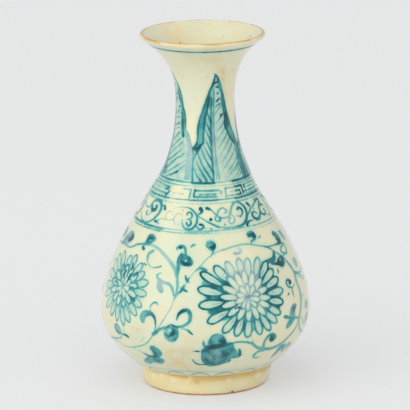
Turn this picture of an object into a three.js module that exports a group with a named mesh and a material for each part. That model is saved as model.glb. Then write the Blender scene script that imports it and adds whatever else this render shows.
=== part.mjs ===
import * as THREE from 'three';

// Pear-shaped porcelain bottle vase, thrown in five sections that are luted together.
// Millimetres, +Z up, origin at the centre of the foot's resting plane.

// Foot ring
const footHeight = 17.4;
const footBaseRadius = 51.6;
const footTopRadius = 53.9;
const footSwell = 1;
const footBaseInnerRadius = 44.5;
const footTopInnerRadius = 46.5;
const footChamfer = 1.2;
const footTopRound = 1.5;

// Body outline, from the step over the foot to the flare of the mouth
const bodyStepHeight = 1.6;
const bodyStepRadius = 56.3;
const bodyFootRadius = 59.1;
const bodyFootSlope = 1.32;
const bellyHeight = 62;
const bellyRadius = 85.2;
const shoulderHeight = 165;
const shoulderRadius = 41.5;
const shoulderSlope = -0.58;
const neckRadius = 23.9;
const mouthHeight = 290;
const mouthRadius = 50.8;
const mouthSlope = 1.36;
const neckDepth = 54.8;

// Wall thickness at each place on the outline
const footWall = 6.5;
const bellyWall = 6;
const shoulderWall = 5.5;
const neckWall = 5;
const lipThickness = 4;
const floorThickness = 7;
const floorFillet = 8;

// Heights of the luted seams between the thrown sections
const bellySeamHeight = 64;
const shoulderSeamHeight = 172;
const mouthSeamDepth = 34;

// Fineness of the faceted surfaces
const turns = 80;
const ringSpacing = 9;
const lipSteps = 8;
const filletSteps = 4;

const point = (radius, height) => new THREE.Vector2(radius, height);

// The narrowest place and the last seam are measured down from the mouth
const neckHeight = mouthHeight - neckDepth;
const mouthSeamHeight = mouthHeight - mouthSeamDepth;

// The lip is a half round on the end of the flaring wall, tangent to both faces
const lipRadius = lipThickness / 2;
const lipCentre = point(mouthRadius - lipRadius, mouthHeight - lipRadius);
const flareAngle = Math.atan(mouthSlope);
const flareTop = point(
  lipCentre.x + lipRadius * Math.cos(flareAngle),
  lipCentre.y - lipRadius * Math.sin(flareAngle),
);

// Places where the outer outline is fixed: slope is radius gained per unit of height
const stations = [
  { height: footHeight + bodyStepHeight, radius: bodyFootRadius, slope: bodyFootSlope, wall: footWall },
  { height: bellyHeight, radius: bellyRadius, slope: 0, wall: bellyWall },
  { height: shoulderHeight, radius: shoulderRadius, slope: shoulderSlope, wall: shoulderWall },
  { height: neckHeight, radius: neckRadius, slope: 0, wall: neckWall },
  { height: flareTop.y, radius: flareTop.x, slope: mouthSlope, wall: lipThickness },
];

// Smooth outline through the stations: radius, slope and wall at a height
function outlineAt(height) {
  const last = stations.length - 2;
  const found = stations.findIndex((station, i) => i <= last && height <= stations[i + 1].height);
  const index = found < 0 ? last : found;
  const low = stations[index];
  const high = stations[index + 1];
  const span = high.height - low.height;
  const t = (height - low.height) / span;
  const rise = t * t * (3 - 2 * t);
  const radius = low.radius * (1 - rise) + high.radius * rise
    + span * low.slope * t * (1 - t) ** 2
    + span * high.slope * t * t * (t - 1);
  const slope = 6 * t * (1 - t) * (high.radius - low.radius) / span
    + low.slope * (1 - t) * (1 - 3 * t)
    + high.slope * t * (3 * t - 2);
  const wall = THREE.MathUtils.lerp(low.wall, high.wall, t);
  return { radius, slope, wall };
}

function outerPoint(height) {
  return point(outlineAt(height).radius, height);
}

// The wall is measured square to the surface, so a sloping wall is wider along the radius
function innerPoint(height) {
  const { radius, slope, wall } = outlineAt(height);
  return point(radius - wall * Math.hypot(1, slope), height);
}

function heightsBetween(from, to) {
  const steps = Math.max(2, Math.round(Math.abs(to - from) / ringSpacing));
  return Array.from({ length: steps + 1 }, (unused, i) => THREE.MathUtils.lerp(from, to, i / steps));
}

function arcPoints(centre, radius, startAngle, endAngle, steps) {
  return Array.from({ length: steps + 1 }, (unused, i) => {
    const angle = THREE.MathUtils.lerp(startAngle, endAngle, i / steps);
    return point(centre.x + radius * Math.cos(angle), centre.y + radius * Math.sin(angle));
  });
}

// Profiles run anticlockwise in the radius and height plane, so that the faces point outwards
function turnedPiece(name, profile, material) {
  const geometry = new THREE.LatheGeometry(profile, turns);
  geometry.rotateX(Math.PI / 2);
  const mesh = new THREE.Mesh(geometry, material);
  mesh.name = name;
  return mesh;
}

function closed(profile) {
  return [...profile, profile[0].clone()];
}

function glazedPorcelain(colour) {
  return new THREE.MeshStandardMaterial({ color: colour, roughness: 0.16, metalness: 0 });
}

function footRing() {
  const topRound = arcPoints(
    point(footTopRadius - footTopRound, footHeight - footTopRound),
    footTopRound, 0, Math.PI / 2, filletSteps,
  );
  const side = new THREE.QuadraticBezierCurve(
    point(footBaseRadius, footChamfer),
    point((footBaseRadius + footTopRadius) / 2 + footSwell, footHeight / 2),
    topRound[0],
  );
  const profile = [
    point(footBaseInnerRadius + footChamfer, 0),
    point(footBaseRadius - footChamfer, 0),
    ...side.getPoints(filletSteps),
    ...topRound.slice(1),
    point(footTopInnerRadius, footHeight),
    point(footBaseInnerRadius, footChamfer),
  ];
  return turnedPiece('foot_ring', closed(profile), glazedPorcelain('#e6dfc2'));
}

function lowerBody() {
  const floorTop = footHeight + floorThickness;
  const wallStart = floorTop + floorFillet;
  const filletCentre = point(innerPoint(wallStart).x - floorFillet, wallStart);
  const profile = [
    point(0, footHeight),
    point(bodyStepRadius, footHeight),
    ...heightsBetween(stations[0].height, bellySeamHeight).map(outerPoint),
    ...heightsBetween(bellySeamHeight, wallStart).map(innerPoint),
    ...arcPoints(filletCentre, floorFillet, 0, -Math.PI / 2, filletSteps).slice(1),
    point(0, floorTop),
  ];
  return turnedPiece('lower_body', profile, glazedPorcelain('#cfd6c4'));
}

function wallSection(name, from, to, material) {
  const profile = [
    ...heightsBetween(from, to).map(outerPoint),
    ...heightsBetween(to, from).map(innerPoint),
  ];
  return turnedPiece(name, closed(profile), material);
}

function shoulder() {
  return wallSection('shoulder', bellySeamHeight, shoulderSeamHeight, glazedPorcelain('#c9d3c6'));
}

function neck() {
  return wallSection('neck', shoulderSeamHeight, mouthSeamHeight, glazedPorcelain('#b9cbc6'));
}

function mouthRim() {
  const lip = arcPoints(lipCentre, lipRadius, -flareAngle, Math.PI - flareAngle, lipSteps);
  const innerTop = lip[lip.length - 1].y;
  const innerHeights = heightsBetween(flareTop.y, mouthSeamHeight);
  const profile = [
    ...heightsBetween(mouthSeamHeight, flareTop.y).map(outerPoint).slice(0, -1),
    ...lip,
    ...innerHeights.map(innerPoint).filter((inner) => inner.y < innerTop - lipThickness),
  ];
  return turnedPiece('mouth_rim', closed(profile), glazedPorcelain('#dcd8bf'));
}

const vase = new THREE.Group();
vase.add(footRing(), lowerBody(), shoulder(), neck(), mouthRim());

export default vase;
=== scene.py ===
import math
import random

import bmesh
import bpy
import numpy as np
from bpy.props import FloatProperty, FloatVectorProperty, IntProperty, PointerProperty
from mathutils import Matrix, Vector


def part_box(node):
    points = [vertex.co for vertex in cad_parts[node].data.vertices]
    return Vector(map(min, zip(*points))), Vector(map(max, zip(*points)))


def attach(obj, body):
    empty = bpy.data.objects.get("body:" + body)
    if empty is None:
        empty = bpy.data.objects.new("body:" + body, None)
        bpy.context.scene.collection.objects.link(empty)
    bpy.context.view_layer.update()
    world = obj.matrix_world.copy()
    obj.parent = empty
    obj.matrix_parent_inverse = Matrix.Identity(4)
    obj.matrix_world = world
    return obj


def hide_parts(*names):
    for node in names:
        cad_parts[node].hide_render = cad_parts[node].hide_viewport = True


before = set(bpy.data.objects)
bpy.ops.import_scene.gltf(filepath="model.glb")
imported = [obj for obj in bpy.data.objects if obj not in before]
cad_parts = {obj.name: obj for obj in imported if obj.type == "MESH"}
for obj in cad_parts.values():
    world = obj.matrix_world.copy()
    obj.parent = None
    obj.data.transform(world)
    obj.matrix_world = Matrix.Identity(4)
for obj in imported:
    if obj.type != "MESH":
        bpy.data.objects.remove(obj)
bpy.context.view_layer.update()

bl_info = {
    "name": "Painted bottle vase",
    "version": (1, 0, 0),
    "blender": (4, 5, 0),
    "location": "View3D > Sidebar > Vase",
    "description": "Pear-shaped porcelain bottle vase, turned in sections and painted under the glaze",
    "category": "Add Mesh",
}

BODY = "root"
MM = 0.001

# Heights in millimetres where the thrown sections meet, from the frame
FOOT_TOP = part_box("foot_ring")[1][2] / MM
BELLY_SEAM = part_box("lower_body")[1][2] / MM
SHOULDER_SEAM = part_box("shoulder")[1][2] / MM
MOUTH_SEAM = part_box("neck")[1][2] / MM
RIM_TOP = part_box("mouth_rim")[1][2] / MM


def length(name, default, description):
    return FloatProperty(name=name, default=default, description=description, unit="LENGTH", precision=4)


def number(name, default, description):
    return FloatProperty(name=name, default=default, description=description)


def colour(name, default, description):
    return FloatVectorProperty(name=name, default=default, description=description, subtype="COLOR",
                               min=0, max=1)


class VaseForm(bpy.types.PropertyGroup):
    """Sizes of the turned sections"""

    foot_base_radius: length("Foot radius", 0.0516, "Outer radius of the foot where it stands")
    foot_top_radius: length("Foot top radius", 0.0539, "Outer radius of the foot under the body")
    foot_swell: length("Foot swell", 0.001, "Swell of the foot's side")
    foot_base_inner: length("Foot inner radius", 0.0445, "Inner radius of the foot where it stands")
    foot_top_inner: length("Foot top inner radius", 0.0465, "Inner radius of the foot under the floor")
    foot_chamfer: length("Foot chamfer", 0.0012, "Cut edge where the foot stands")
    foot_round: length("Foot round", 0.0015, "Round at the top of the foot's side")
    step_height: length("Step height", 0.0016, "Rise of the rounded step over the foot")
    step_radius: length("Step radius", 0.0563, "Radius of the body's underside")
    body_foot_radius: length("Body radius at the foot", 0.0591, "Radius just over the step")
    body_foot_slope: number("Body slope at the foot", 1.32, "Radius gained for each unit of height")
    belly_height: length("Belly height", 0.062, "Height of the widest place")
    belly_radius: length("Belly radius", 0.0852, "Greatest radius of the body")
    shoulder_height: length("Shoulder height", 0.165, "Height where the shoulder runs into the neck")
    shoulder_radius: length("Shoulder radius", 0.0415, "Radius there")
    shoulder_slope: number("Shoulder slope", -0.58, "Radius gained there for each unit of height")
    neck_depth: length("Neck depth", 0.0548, "Narrowest place, measured down from the mouth")
    neck_radius: length("Neck radius", 0.0239, "Least radius of the neck")
    mouth_radius: length("Mouth radius", 0.0508, "Greatest radius of the lip")
    mouth_slope: number("Mouth slope", 1.36, "Radius gained at the lip for each unit of height")
    foot_wall: length("Wall at the foot", 0.0065, "Wall thickness just over the foot")
    belly_wall: length("Wall at the belly", 0.006, "Wall thickness at the widest place")
    shoulder_wall: length("Wall at the shoulder", 0.0055, "Wall thickness at the shoulder")
    neck_wall: length("Wall at the neck", 0.005, "Wall thickness at the neck")
    lip_thickness: length("Lip thickness", 0.004, "Thickness of the rounded lip")
    floor_thickness: length("Floor thickness", 0.007, "Thickness of the floor inside")
    floor_fillet: length("Floor round", 0.008, "Round between the floor and the wall inside")
    neck_bow: length("Neck bow", 0.0017, "How far the neck leans over to the right")
    ring_spacing: length("Ring spacing", 0.0009, "Distance between the rings of faces outside")
    inner_spacing: length("Inner ring spacing", 0.007, "Distance between the rings of faces inside")
    mouth_spacing: length("Mouth ring spacing", 0.0012, "Distance between them inside the mouth")
    turns: IntProperty(name="Turns", default=640, description="Faces round the vase")


class VaseFinish(bpy.types.PropertyGroup):
    """Colours of the glaze and the painting"""

    ivory: colour("Ivory glaze", (0.80, 0.765, 0.52), "Warm body of the glaze")
    celadon: colour("Green glaze", (0.67, 0.72, 0.52), "Where the glaze runs green")
    mint: colour("Pale glaze", (0.72, 0.77, 0.62), "Where the glaze is thin and pale")
    peach: colour("Peach stain", (0.80, 0.65, 0.37), "Warm stain low on the belly")
    rust: colour("Rust stain", (0.67, 0.46, 0.17), "Brown smear of iron in the glaze")
    bled: colour("Bled cobalt", (0.37, 0.62, 0.50), "Glaze round the painting, where the cobalt bled")
    amber: colour("Amber glaze", (0.72, 0.50, 0.17), "Glaze pooled under the body")
    foot_cream: colour("Foot glaze", (0.88, 0.74, 0.38), "Yellow glaze on the foot")
    pale_foot: colour("Pale foot glaze", (0.90, 0.86, 0.66), "Thin pale places in the glaze of the foot")
    clay: colour("Bare clay", (0.50, 0.19, 0.08), "Fired clay where the foot is bare")
    inside_cream: colour("Inside glaze", (0.75, 0.71, 0.48), "Glaze inside the mouth")
    lip_tan: colour("Lip dressing", (0.82, 0.64, 0.32), "Iron wash on the lip")
    lip_brown: colour("Lip brown", (0.56, 0.32, 0.08), "Where the iron wash is thick")
    burnt: colour("Burnt speck", (0.12, 0.06, 0.03), "Chips of the foot and the speck in the mouth")
    ink_thin: colour("Thin cobalt", (0.41, 0.60, 0.51), "Watery cobalt")
    ink_pale: colour("Pale cobalt", (0.16, 0.46, 0.40), "Cobalt drawn out thin")
    ink_mid: colour("Mid cobalt", (0.03, 0.29, 0.30), "Cobalt line")
    ink_deep: colour("Deep cobalt", (0.003, 0.14, 0.155), "Loaded cobalt line")
    ink_heaped: colour("Heaped cobalt", (0.001, 0.05, 0.06), "Heaped and piled cobalt")
    # Grey cobalt: partly cobalt that turned lavender, partly painted reflection of the softboxes over the
    # painting
    ink_grey_and_reflected: colour("Lavender cobalt", (0.35, 0.43, 0.47), "Watery cobalt where it turned grey")
    paper: colour("Floor", (0.83, 0.83, 0.832), "Pale studio floor")
    paper_grain: colour("Floor grain", (0.6, 0.6, 0.6), "Faint darker grain of the floor")
    backdrop: colour("Backdrop", (0.81, 0.815, 0.82), "Even tone of the floor as it is seen")


class VaseView(bpy.types.PropertyGroup):
    """Where the camera stands, and how strong the lights are"""

    distance: length("Camera distance", 3.181, "From the vase's axis, level")
    height: length("Camera height", 0.9388, "Above the floor")
    pitch: number("Camera pitch", 13.99, "Degrees that the camera looks down")
    roll: number("Camera roll", -0.65, "Degrees that the camera leans")
    focal: number("Focal length", 354.0, "Millimetres on a 36 mm frame")
    offset: number("Picture offset", 0.00183, "Sideways shift, as a share of the frame")
    left_power: number("Left softbox", 5.0, "Watts of the softbox on the left")
    right_power: number("Right softbox", 3.0, "Watts of the softbox on the right")
    broad_strength: number("Broad light", 1.2, "Strength of the broad soft light")
    broad_spread: number("Broad light's spread", 80.0, "Degrees that it spreads over, for soft shadows")
    room_strength: number("Room light", 0.65, "Strength of the even light all round")
    room_tint: colour("Room tint", (0.985, 0.99, 1.0), "Colour of the even light all round")


class Outline:
    """Outer and inner outline of the body in millimetres, smooth through five stations."""

    def __init__(self, form):
        def size(name):
            return getattr(form, name) / MM

        self.lip_radius = size("lip_thickness") / 2
        self.lip_centre = (size("mouth_radius") - self.lip_radius, RIM_TOP - self.lip_radius)
        self.flare_angle = math.atan(form.mouth_slope)
        flare_radius = self.lip_centre[0] + self.lip_radius * math.cos(self.flare_angle)
        self.high = self.lip_centre[1] - self.lip_radius * math.sin(self.flare_angle)
        self.low = FOOT_TOP + size("step_height")
        self.neck_height = RIM_TOP - size("neck_depth")
        self.stations = np.array([
            (self.low, size("body_foot_radius"), form.body_foot_slope, size("foot_wall")),
            (size("belly_height"), size("belly_radius"), 0.0, size("belly_wall")),
            (size("shoulder_height"), size("shoulder_radius"), form.shoulder_slope, size("shoulder_wall")),
            (self.neck_height, size("neck_radius"), 0.0, size("neck_wall")),
            (self.high, flare_radius, form.mouth_slope, size("lip_thickness")),
        ])
        self.bow = size("neck_bow")
        self.bow_start = size("shoulder_height") - 7

    def at(self, height):
        """Radius, slope and wall at one height or at an array of heights."""
        height = np.asarray(height, float)
        last = len(self.stations) - 2
        index = np.clip(np.searchsorted(self.stations[:, 0], height) - 1, 0, last)
        low, high = self.stations[index].T, self.stations[index + 1].T
        span = high[0] - low[0]
        t = (height - low[0]) / span
        rise = t * t * (3 - 2 * t)
        radius = low[1] * (1 - rise) + high[1] * rise
        radius = radius + span * (low[2] * t * (1 - t) ** 2 + high[2] * t * t * (t - 1))
        slope = 6 * t * (1 - t) * (high[1] - low[1]) / span
        slope = slope + low[2] * (1 - t) * (1 - 3 * t) + high[2] * t * (3 * t - 2)
        return radius, slope, low[3] + (high[3] - low[3]) * t

    def outer(self, height):
        return float(self.at(height)[0]), height

    def inner(self, height):
        radius, slope, wall = self.at(height)
        return float(radius - wall * np.hypot(1, slope)), height

    def lean(self, height):
        """Sideways lean of the neck, nothing at the shoulder and at the mouth."""
        rise = smooth_rise((height - self.bow_start) / 24)
        fall = smooth_rise((height - self.neck_height - 15) / 34)
        return self.bow * rise * (1 - fall)


def smooth_rise(t):
    t = np.clip(t, 0, 1)
    return t * t * (3 - 2 * t)


# The painter's canvas: the outside of the body unrolled, with strokes measured in millimetres


def smooth_path(points, spacing=1.2):
    """Points of a smooth curve through the given (degrees, height) points."""
    p = np.array(points, float)
    if len(p) < 3:
        return p
    p = np.vstack([2 * p[0] - p[1], p, 2 * p[-1] - p[-2]])
    parts = []
    for a, b, c, d in zip(p[:-3], p[1:-2], p[2:-1], p[3:]):
        steps = max(2, math.ceil(np.hypot(*(c - b)) / spacing))
        t = np.arange(steps)[:, None] / steps
        curve = 2 * b + (c - a) * t + (2 * a - 5 * b + 4 * c - d) * t ** 2 + (3 * b - a - 3 * c + d) * t ** 3
        parts.append(curve / 2)
    parts.append(p[-2:-1])
    return np.vstack(parts)


def spread(values, count):
    """Values spaced evenly along a stroke of so many points."""
    values = np.atleast_1d(values)
    return np.interp(np.linspace(0, 1, count), np.linspace(0, 1, len(values)), values)


class Canvas:
    """Rows are heights and columns are degrees, with 0 towards the viewer and + to the right.

    ink is the distance to the edge of the nearest line, less than 0 inside it, and load is how much
    cobalt that line holds. wash is the strength of the watery cobalt between the lines, and bled is
    how much cobalt ran into the glaze round them.
    """

    # Cells: degrees and millimetres of one, and the degrees kept spare past half a turn
    STEP = 0.25
    RISE = 0.5
    SPARE = 60.0
    # In millimetres: how far lines are measured, how near them the newer one wins, the soft edge of
    # what is wiped away, and how far the cobalt bleeds
    REACH = 1.4
    MARGIN = 0.35
    WIPED = 0.8
    BLEED = 1.7

    def __init__(self, outline):
        self.heights = np.arange(outline.low - 2, outline.high + 2, self.RISE)
        self.angles = np.arange(-180 - self.SPARE, 180 + self.SPARE, self.STEP)
        self.radius, slope, _ = outline.at(self.heights)
        self.arc = np.concatenate([[0], np.cumsum(np.hypot(1, slope)[:-1] * self.RISE)])
        shape = (len(self.heights), len(self.angles))
        self.ink = np.full(shape, self.REACH)
        self.load = np.zeros(shape)
        self.wash = np.zeros(shape)
        self.bled = np.zeros(shape)

    def radius_at(self, height):
        return np.interp(height, self.heights, self.radius)

    def arc_at(self, height):
        return np.interp(height, self.heights, self.arc)

    def window(self, points, reach):
        """Rows and columns within reach of the points."""
        spare = math.degrees(reach / self.radius_at(points[:, 1]).min())
        left, right = ((points[:, 0].min() - spare, points[:, 0].max() + spare) - self.angles[0]) / self.STEP
        low, high = points[:, 1].min() - reach, points[:, 1].max() + reach
        bottom, top = ((low, high) - self.heights[0]) / self.RISE
        rows = slice(max(0, int(bottom)), max(0, min(len(self.heights), int(top) + 2)))
        columns = slice(max(0, int(left)), max(0, min(len(self.angles), int(right) + 2)))
        return rows, columns

    def measure(self, points, radii, loads):
        """Distance to a stroke's edge, and its load, over the part of the canvas round it."""
        rows, columns = self.window(points, radii.max() + self.REACH)
        distance = np.full((rows.stop - rows.start, columns.stop - columns.start), self.REACH)
        load = np.full(distance.shape, loads[0])
        for k in range(len(points) - 1):
            start, end = points[k], points[k + 1]
            r, c = self.window(points[k:k + 2], max(radii[k:k + 2]) + self.REACH)
            x = self.radius[r][:, None] * np.radians(self.angles[c] - start[0])[None, :]
            y = (self.arc[r] - self.arc_at(start[1]))[:, None]
            dx = math.radians(end[0] - start[0]) * self.radius_at((start[1] + end[1]) / 2)
            dy = self.arc_at(end[1]) - self.arc_at(start[1])
            t = np.clip((x * dx + y * dy) / (dx * dx + dy * dy + 1e-9), 0, 1)
            found = np.hypot(x - t * dx, y - t * dy) - (radii[k] + (radii[k + 1] - radii[k]) * t)
            part = (slice(r.start - rows.start, r.stop - rows.start),
                    slice(c.start - columns.start, c.stop - columns.start))
            nearer = found < distance[part]
            distance[part][nearer] = found[nearer]
            load[part][nearer] = (loads[k] + (loads[k + 1] - loads[k]) * t)[nearer]
        return rows, columns, distance, load

    def inside(self, outline, smooth):
        """Distance to the edge of a closed area, less than 0 inside it."""
        closed = list(outline) + [outline[0]]
        p = smooth_path(closed, 2.5) if smooth else np.array(closed, float)
        rows, columns = self.window(p, self.REACH)
        middle = p[:, 0].mean()
        x = self.radius[rows][:, None] * np.radians(self.angles[columns] - middle)[None, :]
        y = self.arc[rows][:, None] + 0 * x
        px = np.radians(p[:, 0] - middle) * self.radius_at(p[:, 1])
        py = self.arc_at(p[:, 1])
        distance = np.full(x.shape, 1e3)
        within = np.zeros(x.shape, bool)
        for x0, y0, x1, y1 in zip(px[:-1], py[:-1], px[1:], py[1:]):
            dx, dy = x1 - x0, y1 - y0
            t = np.clip(((x - x0) * dx + (y - y0) * dy) / (dx * dx + dy * dy + 1e-9), 0, 1)
            distance = np.minimum(distance, np.hypot(x - x0 - t * dx, y - y0 - t * dy))
            if dy:
                within ^= ((y0 > y) != (y1 > y)) & (x < dx * (y - y0) / dy + x0)
        return rows, columns, np.where(within, -distance, distance)

    def lay_ink(self, rows, columns, distance, load):
        """Adds a line. Where two cross, the heavier load stays."""
        old, loads = self.ink[rows, columns], self.load[rows, columns]
        wet = distance < self.MARGIN
        under = old < self.MARGIN
        loads[wet & under] = np.maximum(loads, load)[wet & under]
        fresh = (wet & ~under) | (~wet & (distance < old))
        loads[fresh] = load[fresh]
        np.minimum(old, distance, out=old)

    def lay_wash(self, rows, columns, distance, load, soft):
        """Lays watery cobalt over what is there, with an edge as soft as given in millimetres."""
        cover = smooth_rise(0.5 - distance / soft) * load
        self.wash[rows, columns] = 1 - (1 - self.wash[rows, columns]) * (1 - cover)

    def line(self, path, width, load, smooth=True):
        """A line of cobalt. Width and load are one number, or some along the line."""
        points = smooth_path(path) if smooth else np.array(path, float)
        width, load = spread(width, len(points)), spread(load, len(points))
        for start in range(0, len(points) - 1, 12):
            part = slice(start, start + 13)
            self.lay_ink(*self.measure(points[part], width[part] / 2, load[part]))

    def tint(self, path, width, load, soft=1.2):
        """A stroke of watery cobalt."""
        points = smooth_path(path)
        rows, columns, distance, loads = self.measure(
            points, spread(width, len(points)) / 2, spread(load, len(points)))
        self.lay_wash(rows, columns, distance, loads, soft)

    def pool(self, outline, load, soft=1.2, smooth=True):
        """An area filled with watery cobalt."""
        rows, columns, distance = self.inside(outline, smooth)
        self.lay_wash(rows, columns, distance, load, soft)

    def bare(self, outline, load):
        """An area wiped clean of what lies under it, with a thin wash of its own."""
        rows, columns, distance = self.inside(outline, False)
        within = distance < 0
        self.ink[rows, columns][within] = self.REACH
        self.load[rows, columns][within] = 0
        kept = smooth_rise(0.5 + distance / self.WIPED)
        self.wash[rows, columns] = self.wash[rows, columns] * kept + load * (1 - kept)

    def spare_spot(self, centre, width):
        """A small spot left white."""
        point = np.array([centre, centre], float)
        rows, columns, distance, _ = self.measure(point, np.array([width / 2] * 2), np.zeros(2))
        self.wash[rows, columns] *= smooth_rise(0.5 + distance / self.WIPED)
        self.ink[rows, columns] = np.maximum(self.ink[rows, columns], -distance)

    def join_round(self):
        """Brings what was painted past half a turn round to the other side."""
        spare, turn = int(self.SPARE / self.STEP), int(360 / self.STEP)
        for kept, extra in ((slice(turn, turn + spare + 1), slice(0, spare + 1)),
                            (slice(spare, 2 * spare), slice(spare + turn, 2 * spare + turn))):
            self.lay_ink(slice(None), kept, self.ink[:, extra].copy(), self.load[:, extra].copy())
            self.wash[:, kept] = np.maximum(self.wash[:, kept], self.wash[:, extra])

    def bleed(self):
        """Spreads the cobalt into the glaze, evenly in millimetres all round."""
        spare, turn = int(self.SPARE / self.STEP), int(360 / self.STEP)
        whole = slice(spare, spare + turn)
        drawn = smooth_rise(0.5 - self.ink[:, whole] / 0.7) * self.load[:, whole]
        cover = 1 - (1 - drawn) * (1 - self.wash[:, whole])
        cells = self.BLEED / (self.radius * math.radians(self.STEP))
        fade = np.exp(-2 * (math.pi * np.outer(cells, np.fft.rfftfreq(turn))) ** 2)
        cover = np.fft.irfft(np.fft.rfft(cover, axis=1) * fade, turn, axis=1)
        rows = len(self.heights)
        fade = np.exp(-2 * (math.pi * self.BLEED / self.RISE * np.fft.rfftfreq(rows)) ** 2)
        cover = np.fft.irfft(np.fft.rfft(cover, axis=0) * fade[:, None], rows, axis=0)
        self.bled[:] = np.take(cover, np.arange(-spare, turn + spare), axis=1, mode="wrap")

    def sample(self, grid, degrees, heights):
        """Reads a grid between its cells."""
        column = (degrees - self.angles[0]) / self.STEP
        row = np.clip((heights - self.heights[0]) / self.RISE, 0, len(self.heights) - 1.001)
        c, r = column.astype(int), row.astype(int)
        u, v = column - c, row - r
        low = grid[r, c] * (1 - u) + grid[r, c + 1] * u
        high = grid[r + 1, c] * (1 - u) + grid[r + 1, c + 1] * u
        return low * (1 - v) + high * v


def turned_by(degrees, path):
    """A path moved round the vase, kept within half a turn of the front."""
    middle = sum(angle for angle, _ in path) / len(path) + degrees
    degrees -= 360 * round(middle / 360)
    return [(angle + degrees, height) for angle, height in path]


def paint_lines(canvas, lines, turn=0.0, smooth=True, wider=1.0, stronger=1.0):
    """Draws a table of lines, each a path, its width in millimetres and its load."""
    for path, width, load in lines:
        canvas.line(turned_by(turn, path), np.multiply(width, wider), np.multiply(load, stronger), smooth)


# Both sides of the vase carry the same painting
SIDES = (0.0, 180.0)


def paint_ring(canvas, height, width, load, seed):
    """A line drawn on the turning vase, a little uneven in height and strength."""
    chance = random.Random(seed)
    phases = [chance.uniform(0, math.tau) for _ in range(4)]
    path = []
    loads = []
    for degrees in range(-184, 188, 4):
        angle = math.radians(degrees)
        wave = sum(math.sin(angle * (k + 1) + phase) / (k + 1) for k, phase in enumerate(phases))
        strength = math.sin(angle * 4 + phases[0]) + math.sin(angle * 3 + phases[1])
        path.append((degrees, height + 0.12 * wave))
        loads.append(load * (1 + 0.25 * strength))
    canvas.line(path, width, loads)


# Thin washes in the two bands: left and right in degrees, low and high in millimetres, strength
BAND_WASHES = (
    (-15, 15, 162, 169, 0.07), (-15, 22, 157.5, 173, 0.06), (36, 78, 158, 173, 0.08),
    (-82, -42, 162, 170, 0.03), (-82, -42, 158, 173, 0.05), (42, 70, 140, 157, 0.06),
    (8, 42, 140, 156, 0.04), (-64, -44, 140, 156, 0.06), (22, 36, 160, 172, 0.06),
    (-14, 12, 137, 139.5, 0.12), (95, 140, 158, 173, 0.12),
)

# Places where the rings round the shoulder are heavier. They leave gaps at about -44 to -17 degrees
# and 10 to 36, where the rings stay light as painted reflection of the two softboxes.
RING_ACCENTS = (
    ([(36, 173.5), (54, 173.6), (72, 173.7)], 2.0, (0.78, 0.88)),
    ([(-17, 173.5), (-6, 173.4), (10.5, 173.5)], 1.9, (0.74, 0.76)),
    ([(-90, 173.6), (-65, 173.6), (-44, 173.7)], 1.3, (0.56, 0.64)),
    ([(42, 171.3), (56, 171.4), (78, 171.3)], 1.1, (0.42, 0.5)),
    ([(-80, 171.4), (-60, 171.4), (-44, 171.3)], 1.0, 0.36),
    ([(-15, 160.9), (14, 160.8)], 1.4, 0.6),
    ([(35, 160.7), (55, 160.9), (76, 161.0)], 1.8, (0.66, 0.85)),
    ([(-76, 161.3), (-56, 161.2), (-40, 160.9)], 1.3, 0.56),
    ([(42, 158.2), (60, 158.4), (78, 158.5)], 1.1, (0.36, 0.42)),
    ([(-80, 158.8), (-62, 158.8)], 1.0, 0.3),
    ([(-80, 139.6), (-56, 139.1), (-36, 138.7)], 1.8, (0.56, 0.64, 0.44)),
    ([(-74, 137), (-56, 136.9), (-38, 136.4)], 1.2, (0.46, 0.52, 0.36)),
    ([(44, 139), (58, 139.1), (72, 139.1)], 1.2, 0.4),
    ([(-16, 137.8), (12, 138.2)], 1.0, 0.26),
)

# Key-fret band: squared lines. Those between about -40 and -16 degrees and between 24 and 37 are
# drawn with light loads, as painted reflection of the two softboxes.
FRET = (
    ([(24.2, 162.4), (24.2, 169.0), (38, 168.8)], 1.0, (0.34, 0.32)),
    ([(24.5, 163.1), (38, 163.2)], 0.9, 0.32),
    ([(30, 166), (38, 166.1)], 0.8, 0.26),
    ([(38, 169.1), (47.6, 169.1), (47.6, 163.3)], 1.2, (0.76, 0.84)),
    ([(38, 166), (43.4, 166), (43.6, 163.1), (38.5, 163.1)], 1.1, 0.82),
    ([(52, 169), (52.6, 167)], 1.4, 0.66),
    ([(52, 166.6), (52, 169.2), (75, 169.2), (75, 164.8)], 0.8, (0.62, 0.5)),
    ([(56, 167), (62, 167), (69, 167.1)], (0.6, 0.9), (0.4, 0.66)),
    ([(49, 164.3), (75, 164.5)], 0.9, (0.68, 0.52)),
    ([(51, 162.4), (76, 162.8)], 0.5, 0.34),
    ([(-11.8, 169), (-11.8, 163.6)], 1.0, 0.55),
    ([(-10.6, 167.9), (16, 167.9)], 1.1, (0.5, 0.62, 0.4)),
    ([(-5.6, 165.3), (13, 165.3)], 0.9, (0.5, 0.55)),
    ([(-11, 163.4), (14, 163.3)], 1.1, (0.6, 0.6, 0.35)),
    ([(17, 167.6), (19.8, 166.9), (17.6, 166), (20.2, 165.4), (17.2, 164.4)], 0.7, 0.35),
    ([(-26.7, 168.8), (-16.3, 168.8), (-16.6, 162.3)], 1.0, (0.24, 0.42)),
    ([(-38, 163), (-37, 165.2), (-24, 165.2)], 1.0, (0.16, 0.26)),
    ([(-55, 168.8), (-46, 168.6), (-46.3, 166.8), (-52, 166.8)], (0.9, 1.3, 0.9), (0.5, 0.66, 0.5)),
    ([(-72, 167.1), (-50, 166.8)], 0.3, (0.34, 0.46)),
    ([(-74, 164), (-60, 164), (-47, 163.8)], (0.7, 1.0), 0.38),
    ([(-46.4, 162.9), (-44.6, 164)], 1.5, 0.72),
    ([(-44.4, 164), (-43.2, 165.8)], 1.1, 0.74),
    ([(-80, 169.2), (-66, 169.4), (-55, 169.0)], 0.7, (0.34, 0.44)),
    ([(80, 163.2), (80, 168.8), (100, 168.8), (100, 165)], 1.0, (0.4, 0.6, 0.4)),
    ([(85, 166.2), (95, 166.2)], 0.9, 0.45),
    ([(85, 163.6), (102, 163.6)], 1.1, 0.5),
)
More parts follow.
